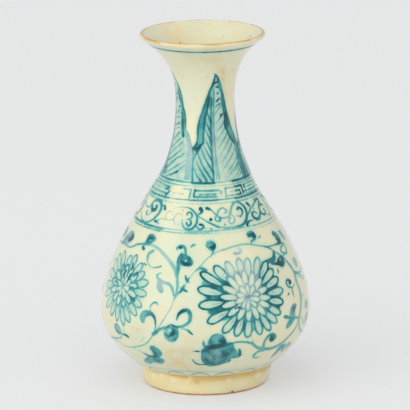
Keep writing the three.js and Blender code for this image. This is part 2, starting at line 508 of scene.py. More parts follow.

# Classic-scroll band: loops of tendril with curls, commas and dots between them. Most lines between
# about -40 and -16 degrees and between 12 and 37 are drawn with light loads, as painted reflection of
# the two softboxes.
SCROLL = (
    ([(-5.6, 149.6), (0, 146.9), (3.3, 145.2), (7.2, 143.5), (11.7, 141.5)], (0.8, 1.3), (0.4, 0.6)),
    ([(11.7, 141.5), (20.6, 140.4), (31, 140.8), (35.6, 142.1), (38.3, 143.8), (40.6, 146.5), (42, 149.2),
      (42, 152.7), (40, 155.4), (36.7, 157.3), (32.8, 157.7), (28.9, 156.2), (26, 153), (24.4, 150.4)],
     (1.0, 1.3, 1.7, 1.6, 1.1, 1.8), (0.3, 0.35, 0.6, 0.68, 0.4, 0.28)),
    ([(30, 148.3), (32.8, 147.7), (35.6, 148), (36.9, 149.2), (37.8, 151.2), (36.7, 153), (34.4, 153.7),
      (32.8, 152.7)], (0.9, 1.0, 1.3, 1.5), (0.3, 0.5, 0.9, 0.6)),
    ([(24.4, 150.4), (22.8, 148.5), (19.4, 147.7), (15, 147.9), (12, 149.2), (12.8, 152.3), (15, 154.2),
      (18.3, 154.8), (21.4, 153), (20.6, 151.5), (19.2, 151.4)], (1.4, 1.0), (0.28, 0.3, 0.4)),
    ([(25, 149.6), (27.2, 148), (27.5, 146.2), (26, 143.8), (23.3, 143), (21.4, 144.6), (22.2, 146.5),
      (23.6, 147)], 0.9, (0.25, 0.36)),
    ([(2.5, 155.2), (6, 154.2), (8.9, 151.9), (11, 149.6), (9.7, 148), (10, 146.2), (12.5, 145.6),
      (14.2, 146.5), (13.9, 148)], (1.9, 0.9, 0.9, 1.1, 1.5), (0.72, 0.46, 0.42, 0.56)),
    ([(2.3, 155.3), (3.6, 154.9)], 1.8, 0.7),
    ([(5.6, 147.3), (5.7, 147.0)], 1.7, 0.85),
    ([(33.8, 147.2), (33.9, 146.9)], 0.8, 0.6),
    ([(17.5, 143.2), (17.4, 142.8)], 0.9, 0.5),
    ([(5.8, 140.6), (5.9, 140.2)], 1.0, 0.45),
    ([(59.2, 156.9), (58.8, 156.2)], 0.9, 0.8),
    ([(52.8, 150.8), (52.6, 150.2)], 0.9, 0.55),
    ([(-20.6, 153.5), (-20.4, 153)], 0.9, 0.3),
    ([(-34.4, 155.8), (-34.2, 155.5)], 0.7, 0.2),
    ([(37.8, 140.6), (41, 142.7), (46, 142.9)], (1.6, 0.9), (0.9, 0.4)),
    ([(46.7, 155.4), (48.3, 153.8)], 2.0, 0.6),
    ([(42.8, 147.7), (47.2, 150.4), (51.7, 152.3), (56, 153.5), (60.6, 155.4), (64.4, 156.2), (66.9, 155.4),
      (65.8, 153.5), (63.9, 153)], (1.1, 1.0, 1.2, 1.6, 0.9), (0.5, 0.45, 0.85)),
    ([(53.9, 146.7), (52.2, 148), (49.4, 148.3), (47.5, 146.9), (47.8, 144.6), (50.6, 142.9), (53.9, 142.9),
      (56.7, 144.6), (59.4, 146.5)], (0.9, 1.5, 2.0, 1.4), (0.6, 0.75, 0.5)),
    ([(60, 146.9), (60.6, 149.6), (63.3, 151.3), (67.2, 151.3), (70, 150)], (1.2, 1.7, 1.0), (0.6, 0.8)),
    ([(66.7, 147.7), (68.3, 146.5), (67.5, 144.6), (64.4, 143.8), (61, 145), (60, 146.9)], 1.3, (0.5, 0.7)),
    ([(-31, 153.8), (-26.7, 155.2), (-20, 155.6), (-15, 155.4), (-10.6, 153.5), (-7.2, 150.4), (-6.4, 146.9),
      (-7.2, 143.5), (-10, 140.8), (-13.9, 140), (-17.8, 141.5), (-19.4, 144.2), (-19.7, 146.9)],
     (0.6, 0.8, 1.3, 1.5, 0.9), (0.22, 0.34, 0.6, 0.55, 0.25)),
    ([(-16, 150), (-15.8, 151.7), (-13.9, 152.3), (-11.4, 150.8), (-11.4, 148.5), (-13.9, 147.3),
      (-16, 147.1)], (0.9, 1.2, 0.8), (0.44, 0.6, 0.36)),
    ([(-13.9, 147.3), (-11.7, 145.8), (-11.7, 143.5), (-13.3, 142.5), (-15.3, 143.5), (-15.6, 144.6)],
     (0.9, 1.4, 1.2), (0.44, 0.64, 0.5)),
    ([(-3.6, 155.0), (-3.0, 154.2)], 2.2, 0.7),
    ([(-3.3, 155), (-2.2, 153), (-3.9, 151.5), (-6, 151)], (2.0, 1.3, 0.7), (0.85, 0.6)),
    ([(-6.7, 142.3), (-5, 140.6), (-2.2, 140.6), (-0.8, 142.3), (-1.9, 143.5), (-3.6, 143.5)],
     (1.0, 1.1, 1.5), (0.5, 0.6, 0.9)),
    ([(-0.5, 141), (3, 141.2), (5.2, 140.5)], 0.7, (0.4, 0.25)),
    ([(-30.3, 149.2), (-30, 150.8), (-31.7, 151.7), (-34.4, 151.7), (-37, 150), (-37.2, 147.7),
      (-35.6, 145.8), (-32.8, 145.2), (-28.9, 146.2), (-27.5, 147.7)], 0.8, (0.2, 0.26)),
    ([(-20.6, 149.6), (-22.8, 150.8), (-25.6, 150.6), (-27.5, 148.5), (-27.8, 145.8), (-26, 143.3),
      (-22.8, 142.7), (-21.4, 143.8)], 0.8, (0.2, 0.26)),
    ([(-43.9, 154.6), (-41.7, 154.8), (-40.3, 152.7)], (1.0, 1.8), (0.5, 0.75)),
    ([(-46.7, 142.9), (-44.4, 142.5), (-41.7, 141.5)], (1.4, 0.8), (0.75, 0.4)),
    ([(-44.4, 143), (-42.2, 145), (-38.9, 145.6), (-32.2, 145.2)], 0.7, (0.5, 0.22)),
    ([(-74.4, 153), (-70, 151), (-65.6, 150.6), (-62.2, 151.5), (-61, 153.8), (-58.9, 156.5), (-55, 157.5),
      (-50.6, 157.3), (-46.7, 155.4), (-45, 152.3), (-45.6, 148.8), (-47.8, 145.8), (-50.6, 143),
      (-54.4, 141), (-59.4, 140.2), (-63.9, 140.8), (-67.2, 142.3), (-72.8, 145.4)],
     (0.8, 1.1, 2.2, 1.9, 1.2, 1.0, 0.7), (0.34, 0.42, 0.48, 0.46, 0.4, 0.44)),
    ([(-58.9, 153), (-57.8, 150.8), (-55, 149.9), (-52, 150.8), (-51.7, 152.7), (-52.8, 153.5)],
     (1.2, 2.6, 1.5), (0.5, 0.84, 0.6)),
    ([(-56.7, 148), (-58.3, 145.8), (-61.7, 145.4), (-63.3, 147.3)], (0.7, 0.7, 1.5), (0.3, 0.3, 0.56)),
    ([(72, 157), (76, 154), (78, 150), (82, 146), (88, 142), (95, 141), (101, 144), (104, 149), (102, 154),
      (97, 156.5), (91, 155), (88, 151), (91, 148)], (0.9, 1.4, 1.0), (0.4, 0.6, 0.4)),
    ([(80, 156), (84, 154), (86, 152)], (2.0, 0.9), 0.7),
    ([(96, 149), (98, 151), (96, 152.5)], 1.2, 0.7),
    ([(74, 148), (76, 144), (73, 141.5), (70, 143)], 1.0, 0.45),
)


# Rings under the lip and round the shoulder: height, width and load
RINGS = ((282.5, 2.0, 0.95), (173.6, 1.4, 0.42), (171.3, 1.0, 0.3), (160.9, 1.2, 0.42),
         (158.4, 0.9, 0.3), (139.1, 1.2, 0.36), (136.9, 0.9, 0.28))


def paint_bands(canvas):
    """Rings, key fret and classic scroll round the shoulder."""
    for height, width, load in RINGS:
        paint_ring(canvas, height, width, load, int(height))
    for turn in SIDES:
        for left, right, low, high, load in BAND_WASHES:
            corners = [(left, low), (right, low), (right, high), (left, high)]
            canvas.pool(turned_by(turn, corners), load, 3, smooth=False)
        paint_lines(canvas, RING_ACCENTS, turn)
        paint_lines(canvas, FRET, turn, smooth=False, wider=1.3, stronger=1.1)
        paint_lines(canvas, SCROLL, turn, wider=1.42, stronger=1.08)


# One stiff leaf, as it stands on the front of the neck with its tip at 19 degrees
LEAF_LEFT_EDGE = [(-17, 174), (-19, 181), (-20, 190), (-20.5, 196), (-22.5, 200), (-17, 203), (-14.5, 207),
                  (-14.5, 213), (-13.5, 219), (-10.5, 224), (-6.5, 229), (-1.5, 235), (4, 241), (9, 247),
                  (14, 252), (19, 260)]
LEAF_RIGHT_EDGE = [(19, 260), (24, 256), (29, 251), (33, 246), (37, 241), (40, 236), (43, 230), (47, 225),
                   (51, 220), (54, 215), (59, 210), (63, 205), (66, 200), (68, 195), (70, 188), (70, 174)]
LEAF_LEFT_BAND = [(-22.5, 200), (-17, 203), (-14.5, 207), (-14.5, 213), (-13.5, 219), (-10.5, 224),
                  (-6.5, 229), (-1.5, 235), (4, 241), (9, 247), (11, 241), (8, 236), (4, 231), (0, 225),
                  (-2.5, 217), (-4, 210), (-3.5, 203.8), (-10, 200), (-14, 197), (-19, 197.5)]
LEAF_RIGHT_BAND = [(29, 251), (33, 246), (37, 241), (40, 236), (43, 230), (47, 225), (51, 220), (54, 215),
                   (59, 210), (63, 205), (66, 200), (68, 195), (57, 200), (50, 205.5), (45, 210.5),
                   (39.5, 216), (40, 222), (38, 228), (35, 234), (32, 240)]
LEAF_ROOT_BAND = [(66, 200), (68, 195), (70, 188), (70, 174), (58, 174), (57, 182), (57, 190), (58, 198)]
LEAF_TIP_POOL = [(4, 241), (9, 247), (14, 252), (17, 251), (18, 244), (18, 236), (12, 232), (6, 233)]

LEAF_LEFT_GROUND = [(-17, 174), (-20, 190), (-14, 197), (-4, 204), (-2.5, 217), (4, 231), (10, 238),
                    (12, 230), (11, 200), (11, 174)]
LEAF_RIGHT_GROUND = [(16, 240), (12, 205), (14, 174), (57, 174), (57, 198), (45, 210), (39.5, 216),
                     (40, 222), (38, 228), (32, 240), (25, 250), (19, 257)]

# The leaf on the left, as if it stood on the front: its right half has steps of its own
SIDE_GROUND = [(16, 240), (12, 205), (14, 174), (60, 174), (59, 190), (57, 200), (47, 208.5), (43, 211),
               (40, 218), (38, 226), (33, 233), (27, 242), (20, 252)]
SIDE_UPPER_BAND = [(24, 252), (32, 248), (37, 242), (40, 237), (43, 231), (47, 227), (49, 222), (50, 214),
                   (47, 208), (43, 211), (40, 218), (38, 226), (33, 233), (27, 240)]
SIDE_LOWER_BAND = [(50, 214), (56, 212), (61, 207), (65, 202), (67.5, 200), (69, 190), (70, 175), (60, 175),
                   (59, 190), (57, 200), (52, 207), (47, 208.5)]
SIDE_SHADE = [(-6, 234), (5, 230), (11, 216), (14, 200), (13, 190), (19, 185), (23, 179), (20, 175),
              (-6, 175)]
SIDE_LINES = (
    ([(19, 260), (24, 254), (28, 251), (33, 247), (37, 242), (40, 237), (43, 231), (47, 227), (49, 222),
      (50, 216)], (1.2, 1.8, 1.5), (0.5, 0.6, 0.66, 0.5)),
    ([(50, 216), (51, 213.5), (56, 212), (61, 207), (65, 202), (67.5, 200)], 1.2, (0.36, 0.22)),
    ([(40, 226), (41, 220), (43, 213), (46, 208.5)], (2.2, 3.4, 2.8), (0.56, 0.62)),
    ([(12, 190.5), (25, 195), (40, 201), (47, 204)], 1.0, (0.4, 0.32)),
    ([(22, 185), (38, 190), (52, 192.5)], 0.9, (0.34, 0.22)),
    ([(32, 180.4), (45, 185), (57, 190)], 0.9, (0.3, 0.2)),
    ([(25, 174.6), (40, 178.6), (50, 182)], 1.0, (0.42, 0.3)),
    ([(12, 210), (22, 212.6), (34, 214.6)], 0.8, (0.3, 0.4)),
    ([(14, 220), (24, 222), (34, 223.4)], 1.0, (0.34, 0.44)),
    ([(12, 248), (22, 250)], 1.2, 0.5),
    ([(12, 236), (24, 238)], 1.2, 0.46),
    ([(35, 226.5), (39, 227)], 1.0, 0.6),
    ([(25, 244), (30, 240), (34, 237)], (1.4, 3.0), 0.42),
    ([(5, 214), (18, 215.5), (30, 217.5), (33, 218.2)], (1.0, 1.3), (0.4, 0.4, 0.75)),
    ([(12, 202), (20, 204.5), (27, 207), (33, 210), (36, 210.5)], (1.0, 1.3), (0.4, 0.42, 0.7)),
    ([(10, 195), (18, 197.5), (30, 202), (40, 206)], (0.9, 1.2), (0.4, 0.36)),
    ([(4, 186), (12, 186), (20, 187.5), (30, 191), (40, 195), (45, 197)], (1.5, 1.6, 1.0),
     (0.56, 0.5, 0.36)),
    ([(8, 180), (20, 181.5), (30, 185.5), (40, 190.5), (53, 195)], (1.4, 1.6, 0.9), (0.56, 0.5, 0.28)),
    ([(20, 176.4), (26, 178), (36, 182), (47, 186)], (1.0, 1.2), (0.42, 0.38)),
    ([(36, 176.5), (42, 179), (46.5, 180.4)], (1.2, 2.0), (0.6, 0.72)),
    ([(50, 183), (58, 186)], 0.9, 0.22),
    ([(28, 231), (33, 232)], 1.2, 0.85),
    ([(19, 225), (30, 228.5)], (0.9, 1.3), (0.3, 0.5)),
    ([(18, 241), (24, 241.5)], 1.0, 0.6),
)

# Veins of the leaf: left ones fall towards the midrib, right ones rise from it
LEFT_VEINS = (
    [(2, 230), (6, 226), (10, 221)], [(0, 221), (5, 217), (10, 211.5)], [(-1, 215), (5, 210), (10, 203)],
    [(-2, 208), (5, 201.5), (10, 195.5)], [(-3, 202), (4, 195.5), (10, 189.5)],
    [(-8, 200), (0, 191), (10, 181.5)], [(-13, 196), (-6, 188), (3, 180), (9, 175)],
    [(-15, 190), (-8, 183.5), (1, 175.5)], [(-17, 184), (-12, 179), (-6, 174.8)],
)
RIGHT_VEINS = (
    [(17, 226), (23, 229.5), (31, 233.5)], [(19, 219), (26, 222), (34, 226)],
    [(20, 212.5), (30, 216.5), (38, 220.5)], [(20, 206), (30, 210.5), (40, 216)],
    [(22, 200), (32, 205), (43, 210.5)], [(24, 194.5), (35, 200), (48, 207)],
    [(24, 188), (35, 193.5), (50, 201.5)], [(20, 180), (30, 185.5), (42, 191), (57, 197.5)],
    [(24, 177), (38, 183.5), (57, 190.5)], [(26, 175.5), (40, 181), (57, 187)],
    [(36, 177.5), (46, 181), (57, 185.5)], [(38, 175.5), (48, 178.5), (57, 182.5)], [(46, 175.5), (57, 179)],
)

# Edges, steps and accents of the leaf: those of its left half, and those of its right half in front
LEFT_LINES = (
    (LEAF_LEFT_EDGE[:5], (1.7, 1.3, 1.6), (0.74, 0.5, 0.62)),
    (LEAF_LEFT_EDGE[4:], (1.1, 1.6, 1.3, 1.6, 1.5), (0.62, 0.66, 0.56, 0.66, 0.75)),
    ([(-22.5, 200), (-15, 199.6), (-9, 202), (-4, 204)], (1.2, 1.8, 1.3), (0.62, 0.82, 0.7)),
    ([(-4, 204), (-4, 210), (-2.5, 217), (0, 225), (4, 231), (6, 236)], (1.3, 1.8, 1.3), (0.75, 0.62, 0.8)),
    ([(-20, 190), (-17, 195), (-13, 198), (-9, 201)], (1.0, 2.4, 1.4), (0.46, 0.58)),
    ([(10.5, 173.5), (10, 185), (10, 200), (10, 212), (11, 226), (12.5, 240)], (1.2, 2.1, 1.5),
     (0.62, 0.5, 0.56)),
    ([(3, 234), (6, 237.6), (8, 241)], (1.6, 2.4, 1.6), 0.5),
)
FRONT_LINES = (
    ([(18, 176), (16.4, 190), (16, 205), (16, 222), (16.5, 234), (17, 246)], 0.9, (0.28, 0.38)),
    (LEAF_RIGHT_EDGE[:6], (1.6, 2.2, 2.0), (0.8, 0.54, 0.62)),
    (LEAF_RIGHT_EDGE[5:], (1.8, 1.2, 1.4, 1.0), (0.72, 0.8, 0.55, 0.6)),
    ([(32, 240), (35, 234), (38, 228), (40, 222), (39.5, 216.5), (45, 210.5), (50, 205.5), (57, 201)],
     (1.0, 1.5, 2.0, 1.6, 1.6), (0.5, 0.64, 0.8, 0.72, 0.66)),
    ([(42, 227), (44, 222), (46, 217)], (2.2, 3.8, 3.0), (0.6, 0.7, 0.6)),
    ([(57, 200), (57, 190), (57.5, 182), (57, 175)], 1.3, (0.6, 0.46)),
    ([(64, 199), (64, 188), (63, 176)], (2.2, 3.4, 3.6), (0.46, 0.54)),
    ([(12, 249), (15, 252), (17.5, 256.5)], (1.8, 2.6, 1.6), 0.66),
    ([(22, 256), (26, 251), (30, 246)], (1.4, 2.4, 1.6), 0.48),
    ([(16.5, 261), (20, 260)], 1.1, 0.8),
    ([(20, 259.5), (24, 257)], 1.2, 0.85),
    ([(16.5, 252.5), (21, 253.5)], 1.4, 0.95),
    ([(21, 249.6), (25, 249)], 1.4, 0.95),
    ([(23, 243.6), (26, 244.4)], 1.4, 0.82),
    ([(22, 237.4), (28, 239.4)], 1.4, 0.8),
    ([(20, 233), (26, 234.6), (31.5, 235.6)], 1.1, (0.4, 0.6)),
    ([(30.5, 225.6), (34.5, 226.4)], 1.5, 1.0),
)


# Watery cobalt in the halves of the leaves, with its strength, and the pale midrib
LEFT_POOLS = ((LEAF_LEFT_GROUND, 0.23), (LEAF_LEFT_BAND, 0.54))
RIGHT_POOLS = ((LEAF_RIGHT_GROUND, 0.18), (LEAF_RIGHT_BAND, 0.54), (LEAF_ROOT_BAND, 0.46))
SIDE_POOLS = ((SIDE_GROUND, 0.18), (SIDE_UPPER_BAND, 0.5), (SIDE_LOWER_BAND, 0.32), (SIDE_SHADE, 0.36))
LEAF_MIDRIB = [(13.5, 176), (13.5, 200), (14, 228)]


def paint_veins(canvas, turn, veins, widths, low, high, chance):
    """Slanting veins, each of its own strength between low and high."""
    for vein in veins:
        strength = chance.uniform(low, high)
        canvas.line(turned_by(turn, vein), widths, (strength * 0.6, strength, strength * 1.25))


def paint_neck(canvas):
    """Four stiff banana leaves round the neck: stepped edges, a pale midrib and slanting veins."""
    chance = random.Random(5)
    for side in SIDES:
        for turn, pools, lines, veins in ((side - 90, SIDE_POOLS, SIDE_LINES, ()),
                                          (side, RIGHT_POOLS, FRONT_LINES, RIGHT_VEINS)):
            for outline, load in (*LEFT_POOLS, *pools):
                canvas.pool(turned_by(turn, outline), load, 1.0, smooth=False)
            canvas.pool(turned_by(turn, LEAF_TIP_POOL), 0.36, 2.0)
            canvas.tint(turned_by(turn, LEAF_MIDRIB), (2.4, 2.0, 1.4), (0.18, 0.24))
            paint_lines(canvas, LEFT_LINES, turn)
            paint_veins(canvas, turn, LEFT_VEINS, (0.8, 1.2, 1.7), 0.44, 0.6, chance)
            paint_lines(canvas, lines, turn)
            paint_veins(canvas, turn, veins, (0.7, 1.0, 1.2), 0.24, 0.38, chance)


# Chrysanthemum scroll: the main stems of one side
STEMS = (
    ([(-96, 46), (-86, 43), (-78, 41.5), (-70, 42), (-61, 42.7), (-57.8, 41.2), (-52.2, 41.2), (-46.7, 42.7),
      (-40, 45.8), (-34.4, 50), (-30.6, 56.2), (-27.8, 61.5), (-25, 67.7), (-22.2, 74.6), (-20, 80),
      (-18.9, 83.8), (-17.5, 90)], (1.6, 1.6, 1.3, 1.2, 1.3, 1.2, 1.0, 0.9, 1.2), (0.25, 0.3, 0.34, 0.3)),
    ([(-17.5, 90), (-16.7, 94.6), (-16.7, 100), (-17.8, 106.2), (-20, 111.5), (-23.9, 116.2), (-28.9, 120.4),
      (-34.4, 123.8), (-38.9, 125.4), (-44.4, 125.8)], (1.6, 2.4, 2.8, 2.6, 2.0), (0.34, 0.34, 0.26, 0.24)),
    ([(-44.4, 125.8), (-50, 125), (-55.6, 123.5), (-59.4, 121.2), (-63.3, 119.6), (-71.7, 119.6),
      (-80, 119.2), (-90, 117)], (2.0, 1.4, 1.8), (0.5, 0.46, 0.4)),
    ([(-17.2, 90.8), (-15, 93.8), (-12.8, 97), (-11.1, 101.5), (-8.3, 106.9), (-5, 111.5), (-2.2, 114.6),
      (0, 117.3), (3.3, 120.6), (7.2, 122.9), (11, 124.5), (15.6, 125.4), (22, 126.8), (27.8, 127.3),
      (33.3, 126.9), (38.9, 125.2), (44.4, 123.5), (47.2, 122.5), (51, 120.2), (53.9, 117.5),
      (57.8, 114.2)], (2.0, 0.9, 1.0, 1.3, 1.4, 1.4, 1.4), (0.4, 0.3, 0.32, 0.34, 0.4, 0.52)),
    ([(57.8, 114.2), (60.6, 111.5), (63.3, 106.9), (66, 101.5), (67.2, 96.2), (66.7, 90), (67.5, 83),
      (67.2, 76), (66, 70.8), (64.4, 66), (62.8, 62.3)], (1.6, 2.8, 3.6, 2.6), (0.46, 0.42, 0.38)),
    ([(62.8, 62.3), (61.7, 58.5), (60, 54.6), (56.7, 50.8), (52.8, 47.3), (48.9, 44.2), (44.4, 42.3),
      (40, 41.9), (35.6, 43), (31, 45)], (1.8, 2.2, 2.8, 2.6), (0.36, 0.44, 0.5, 0.46)),
    ([(31, 45), (28.3, 47.7), (26, 50.4), (22.2, 52.3), (17.8, 53), (14.4, 52.3), (12.2, 51.5)],
     (2.4, 1.8, 1.5), (0.42, 0.46, 0.5)),
    ([(62.8, 62), (62.8, 57), (65, 51.5), (68.9, 47.7), (74.4, 44.6), (80, 42), (88, 42.5)],
     (2.0, 2.2, 1.8), (0.34, 0.44)),
    ([(67, 97), (71, 95.5), (77, 94), (84, 95)], (2.0, 1.4), (0.42, 0.36)),
    ([(25.6, 57.7), (26.4, 53), (28.3, 48)], 0.8, 0.34),
    ([(-51, 63.8), (-51.4, 58), (-51, 53)], 0.8, 0.36),
    ([(88, 42.5), (96, 45), (100, 52), (100, 62), (97, 70)], (1.8, 1.4), 0.36),
    ([(84, 95), (92, 98), (97, 104), (96, 112), (90, 117)], (1.4, 1.2), 0.36),
)

# Leaves and buds of one side, as filled outlines with their strength
LEAVES = (
    ([(0.9, 128.6), (2.2, 131.4), (5, 131.8), (7.6, 129.8), (7.7, 127), (5.8, 124.8), (3.4, 125.6)], 0.5),
    ([(34.4, 134.2), (37.8, 135.6), (41.2, 134.4), (42.4, 131.8), (40.4, 129.2), (36, 127.6), (36.4, 128.8),
      (39, 130.2), (38.4, 131.6), (35.2, 131.8)], 0.58),
    ([(60.4, 128.6), (62, 130.6), (65.6, 129.6), (68.2, 126.6), (68.4, 123), (66.4, 120.8), (62, 121),
      (63.6, 123.4), (63.2, 126)], 0.55),
    ([(52.6, 109.4), (53.6, 106.6), (56.4, 104.8), (59.6, 106), (60.6, 108.6), (59.6, 111.4), (57, 112.2),
      (54.6, 111)], 0.86),
    ([(60, 73.4), (57.4, 74.2), (54.6, 71.6), (53.4, 67.4), (54.6, 64.4), (58, 64.4), (57.8, 67.4),
      (58.8, 70.6)], 0.46),
    ([(57, 62.4), (53.6, 63.2), (50.4, 60.4), (49.8, 57), (52, 57.2), (55.6, 60.2)], 0.56),
    ([(-1.4, 56), (-1.6, 52), (0.2, 49.6), (2.8, 58.8), (5.6, 61), (8.6, 60.4), (10.6, 57), (11.2, 53),
      (11, 50.6), (6, 48.6), (1, 49)], 0.54),
    ([(-2, 48), (2, 51), (8, 52.4), (14.4, 52.9), (15.2, 49.6), (16.8, 46), (18.4, 42.4), (20.6, 40.2),
      (18.4, 38.4), (15, 38.4), (13.6, 35.4), (10.4, 33.2), (6, 31.4), (1.6, 31.2), (-1.2, 34),
      (-2.6, 40)], 0.6),
    ([(-18.9, 68.6), (-15.8, 66.4), (-14.8, 61), (-16, 56.2), (-18.8, 53.6), (-21.8, 55.6), (-23, 60),
      (-22, 65.6)], 0.42),
    ([(-16.2, 119), (-13.6, 121.6), (-10.4, 120), (-8, 116.6), (-9.2, 113.8), (-13, 113.6), (-15.4, 114.6)],
     0.6),
    ([(-48, 130.8), (-46, 133), (-42.4, 132.8), (-39.4, 130.6), (-41, 128.2), (-45, 126.8), (-47.6, 128.2)],
     0.56),
    ([(-80, 117.6), (-78, 124), (-73, 129.4), (-68, 130.2), (-63.4, 127), (-64.6, 124.4), (-68, 121.6),
      (-73, 120.4)], 0.4),
    ([(-60.4, 56), (-59, 59), (-56.6, 59.6), (-54.4, 57), (-54, 53.6), (-56.4, 51.6), (-59.4, 52.8)], 0.42),
    ([(-33.4, 44.6), (-32.6, 47.2), (-29.8, 47.6), (-26.8, 44.4), (-26.6, 41), (-29.6, 37.4), (-32.4, 37.4),
      (-32.2, 41.4)], 0.52),
    ([(-44.8, 29), (-43.4, 31), (-40, 33.6), (-36.4, 36.8), (-32, 38.2), (-28.4, 36.6), (-26.4, 35.4),
      (-28, 32.2), (-31.4, 30.4), (-36, 31.2), (-39.6, 28.4), (-43, 27.6)], 0.52),
    ([(47, 36.8), (46.4, 31.8), (48, 31.2), (50.4, 36), (51, 40.8), (48.6, 42)], 0.5),
    ([(50, 41.6), (51.6, 38.4), (54.6, 34), (56.4, 34.4), (54.8, 38.4), (52.4, 42.4)], 0.48),
    ([(55, 40.4), (57.6, 41.4), (61, 39.4), (61.6, 36.4), (58.8, 36), (56, 38)], 0.5),
    ([(71.6, 129), (75.6, 128), (77.6, 123.4), (75.8, 120.6), (72.8, 124)], 0.46),
    ([(73, 106), (77, 105.6), (78, 101.6), (75, 98.8), (72.6, 101.6)], 0.44),
    ([(71.6, 70), (75.6, 71.4), (78.4, 68.6), (75.6, 64.8), (72, 66)], 0.46),
    ([(72.4, 60), (76.4, 61), (78.4, 57), (76, 52.6), (72.6, 54.4)], 0.46),
    ([(86, 82), (91, 84), (95, 80), (93, 75), (88, 75)], 0.5),
    ([(84, 62), (89, 65), (93, 61), (90, 56), (85, 57)], 0.5),
    ([(86, 30), (91, 36), (97, 36), (100, 31), (95, 27), (89, 27)], 0.52),
    ([(88, 126), (92, 130), (98, 129), (99, 125), (94, 122), (89, 123)], 0.5),
)

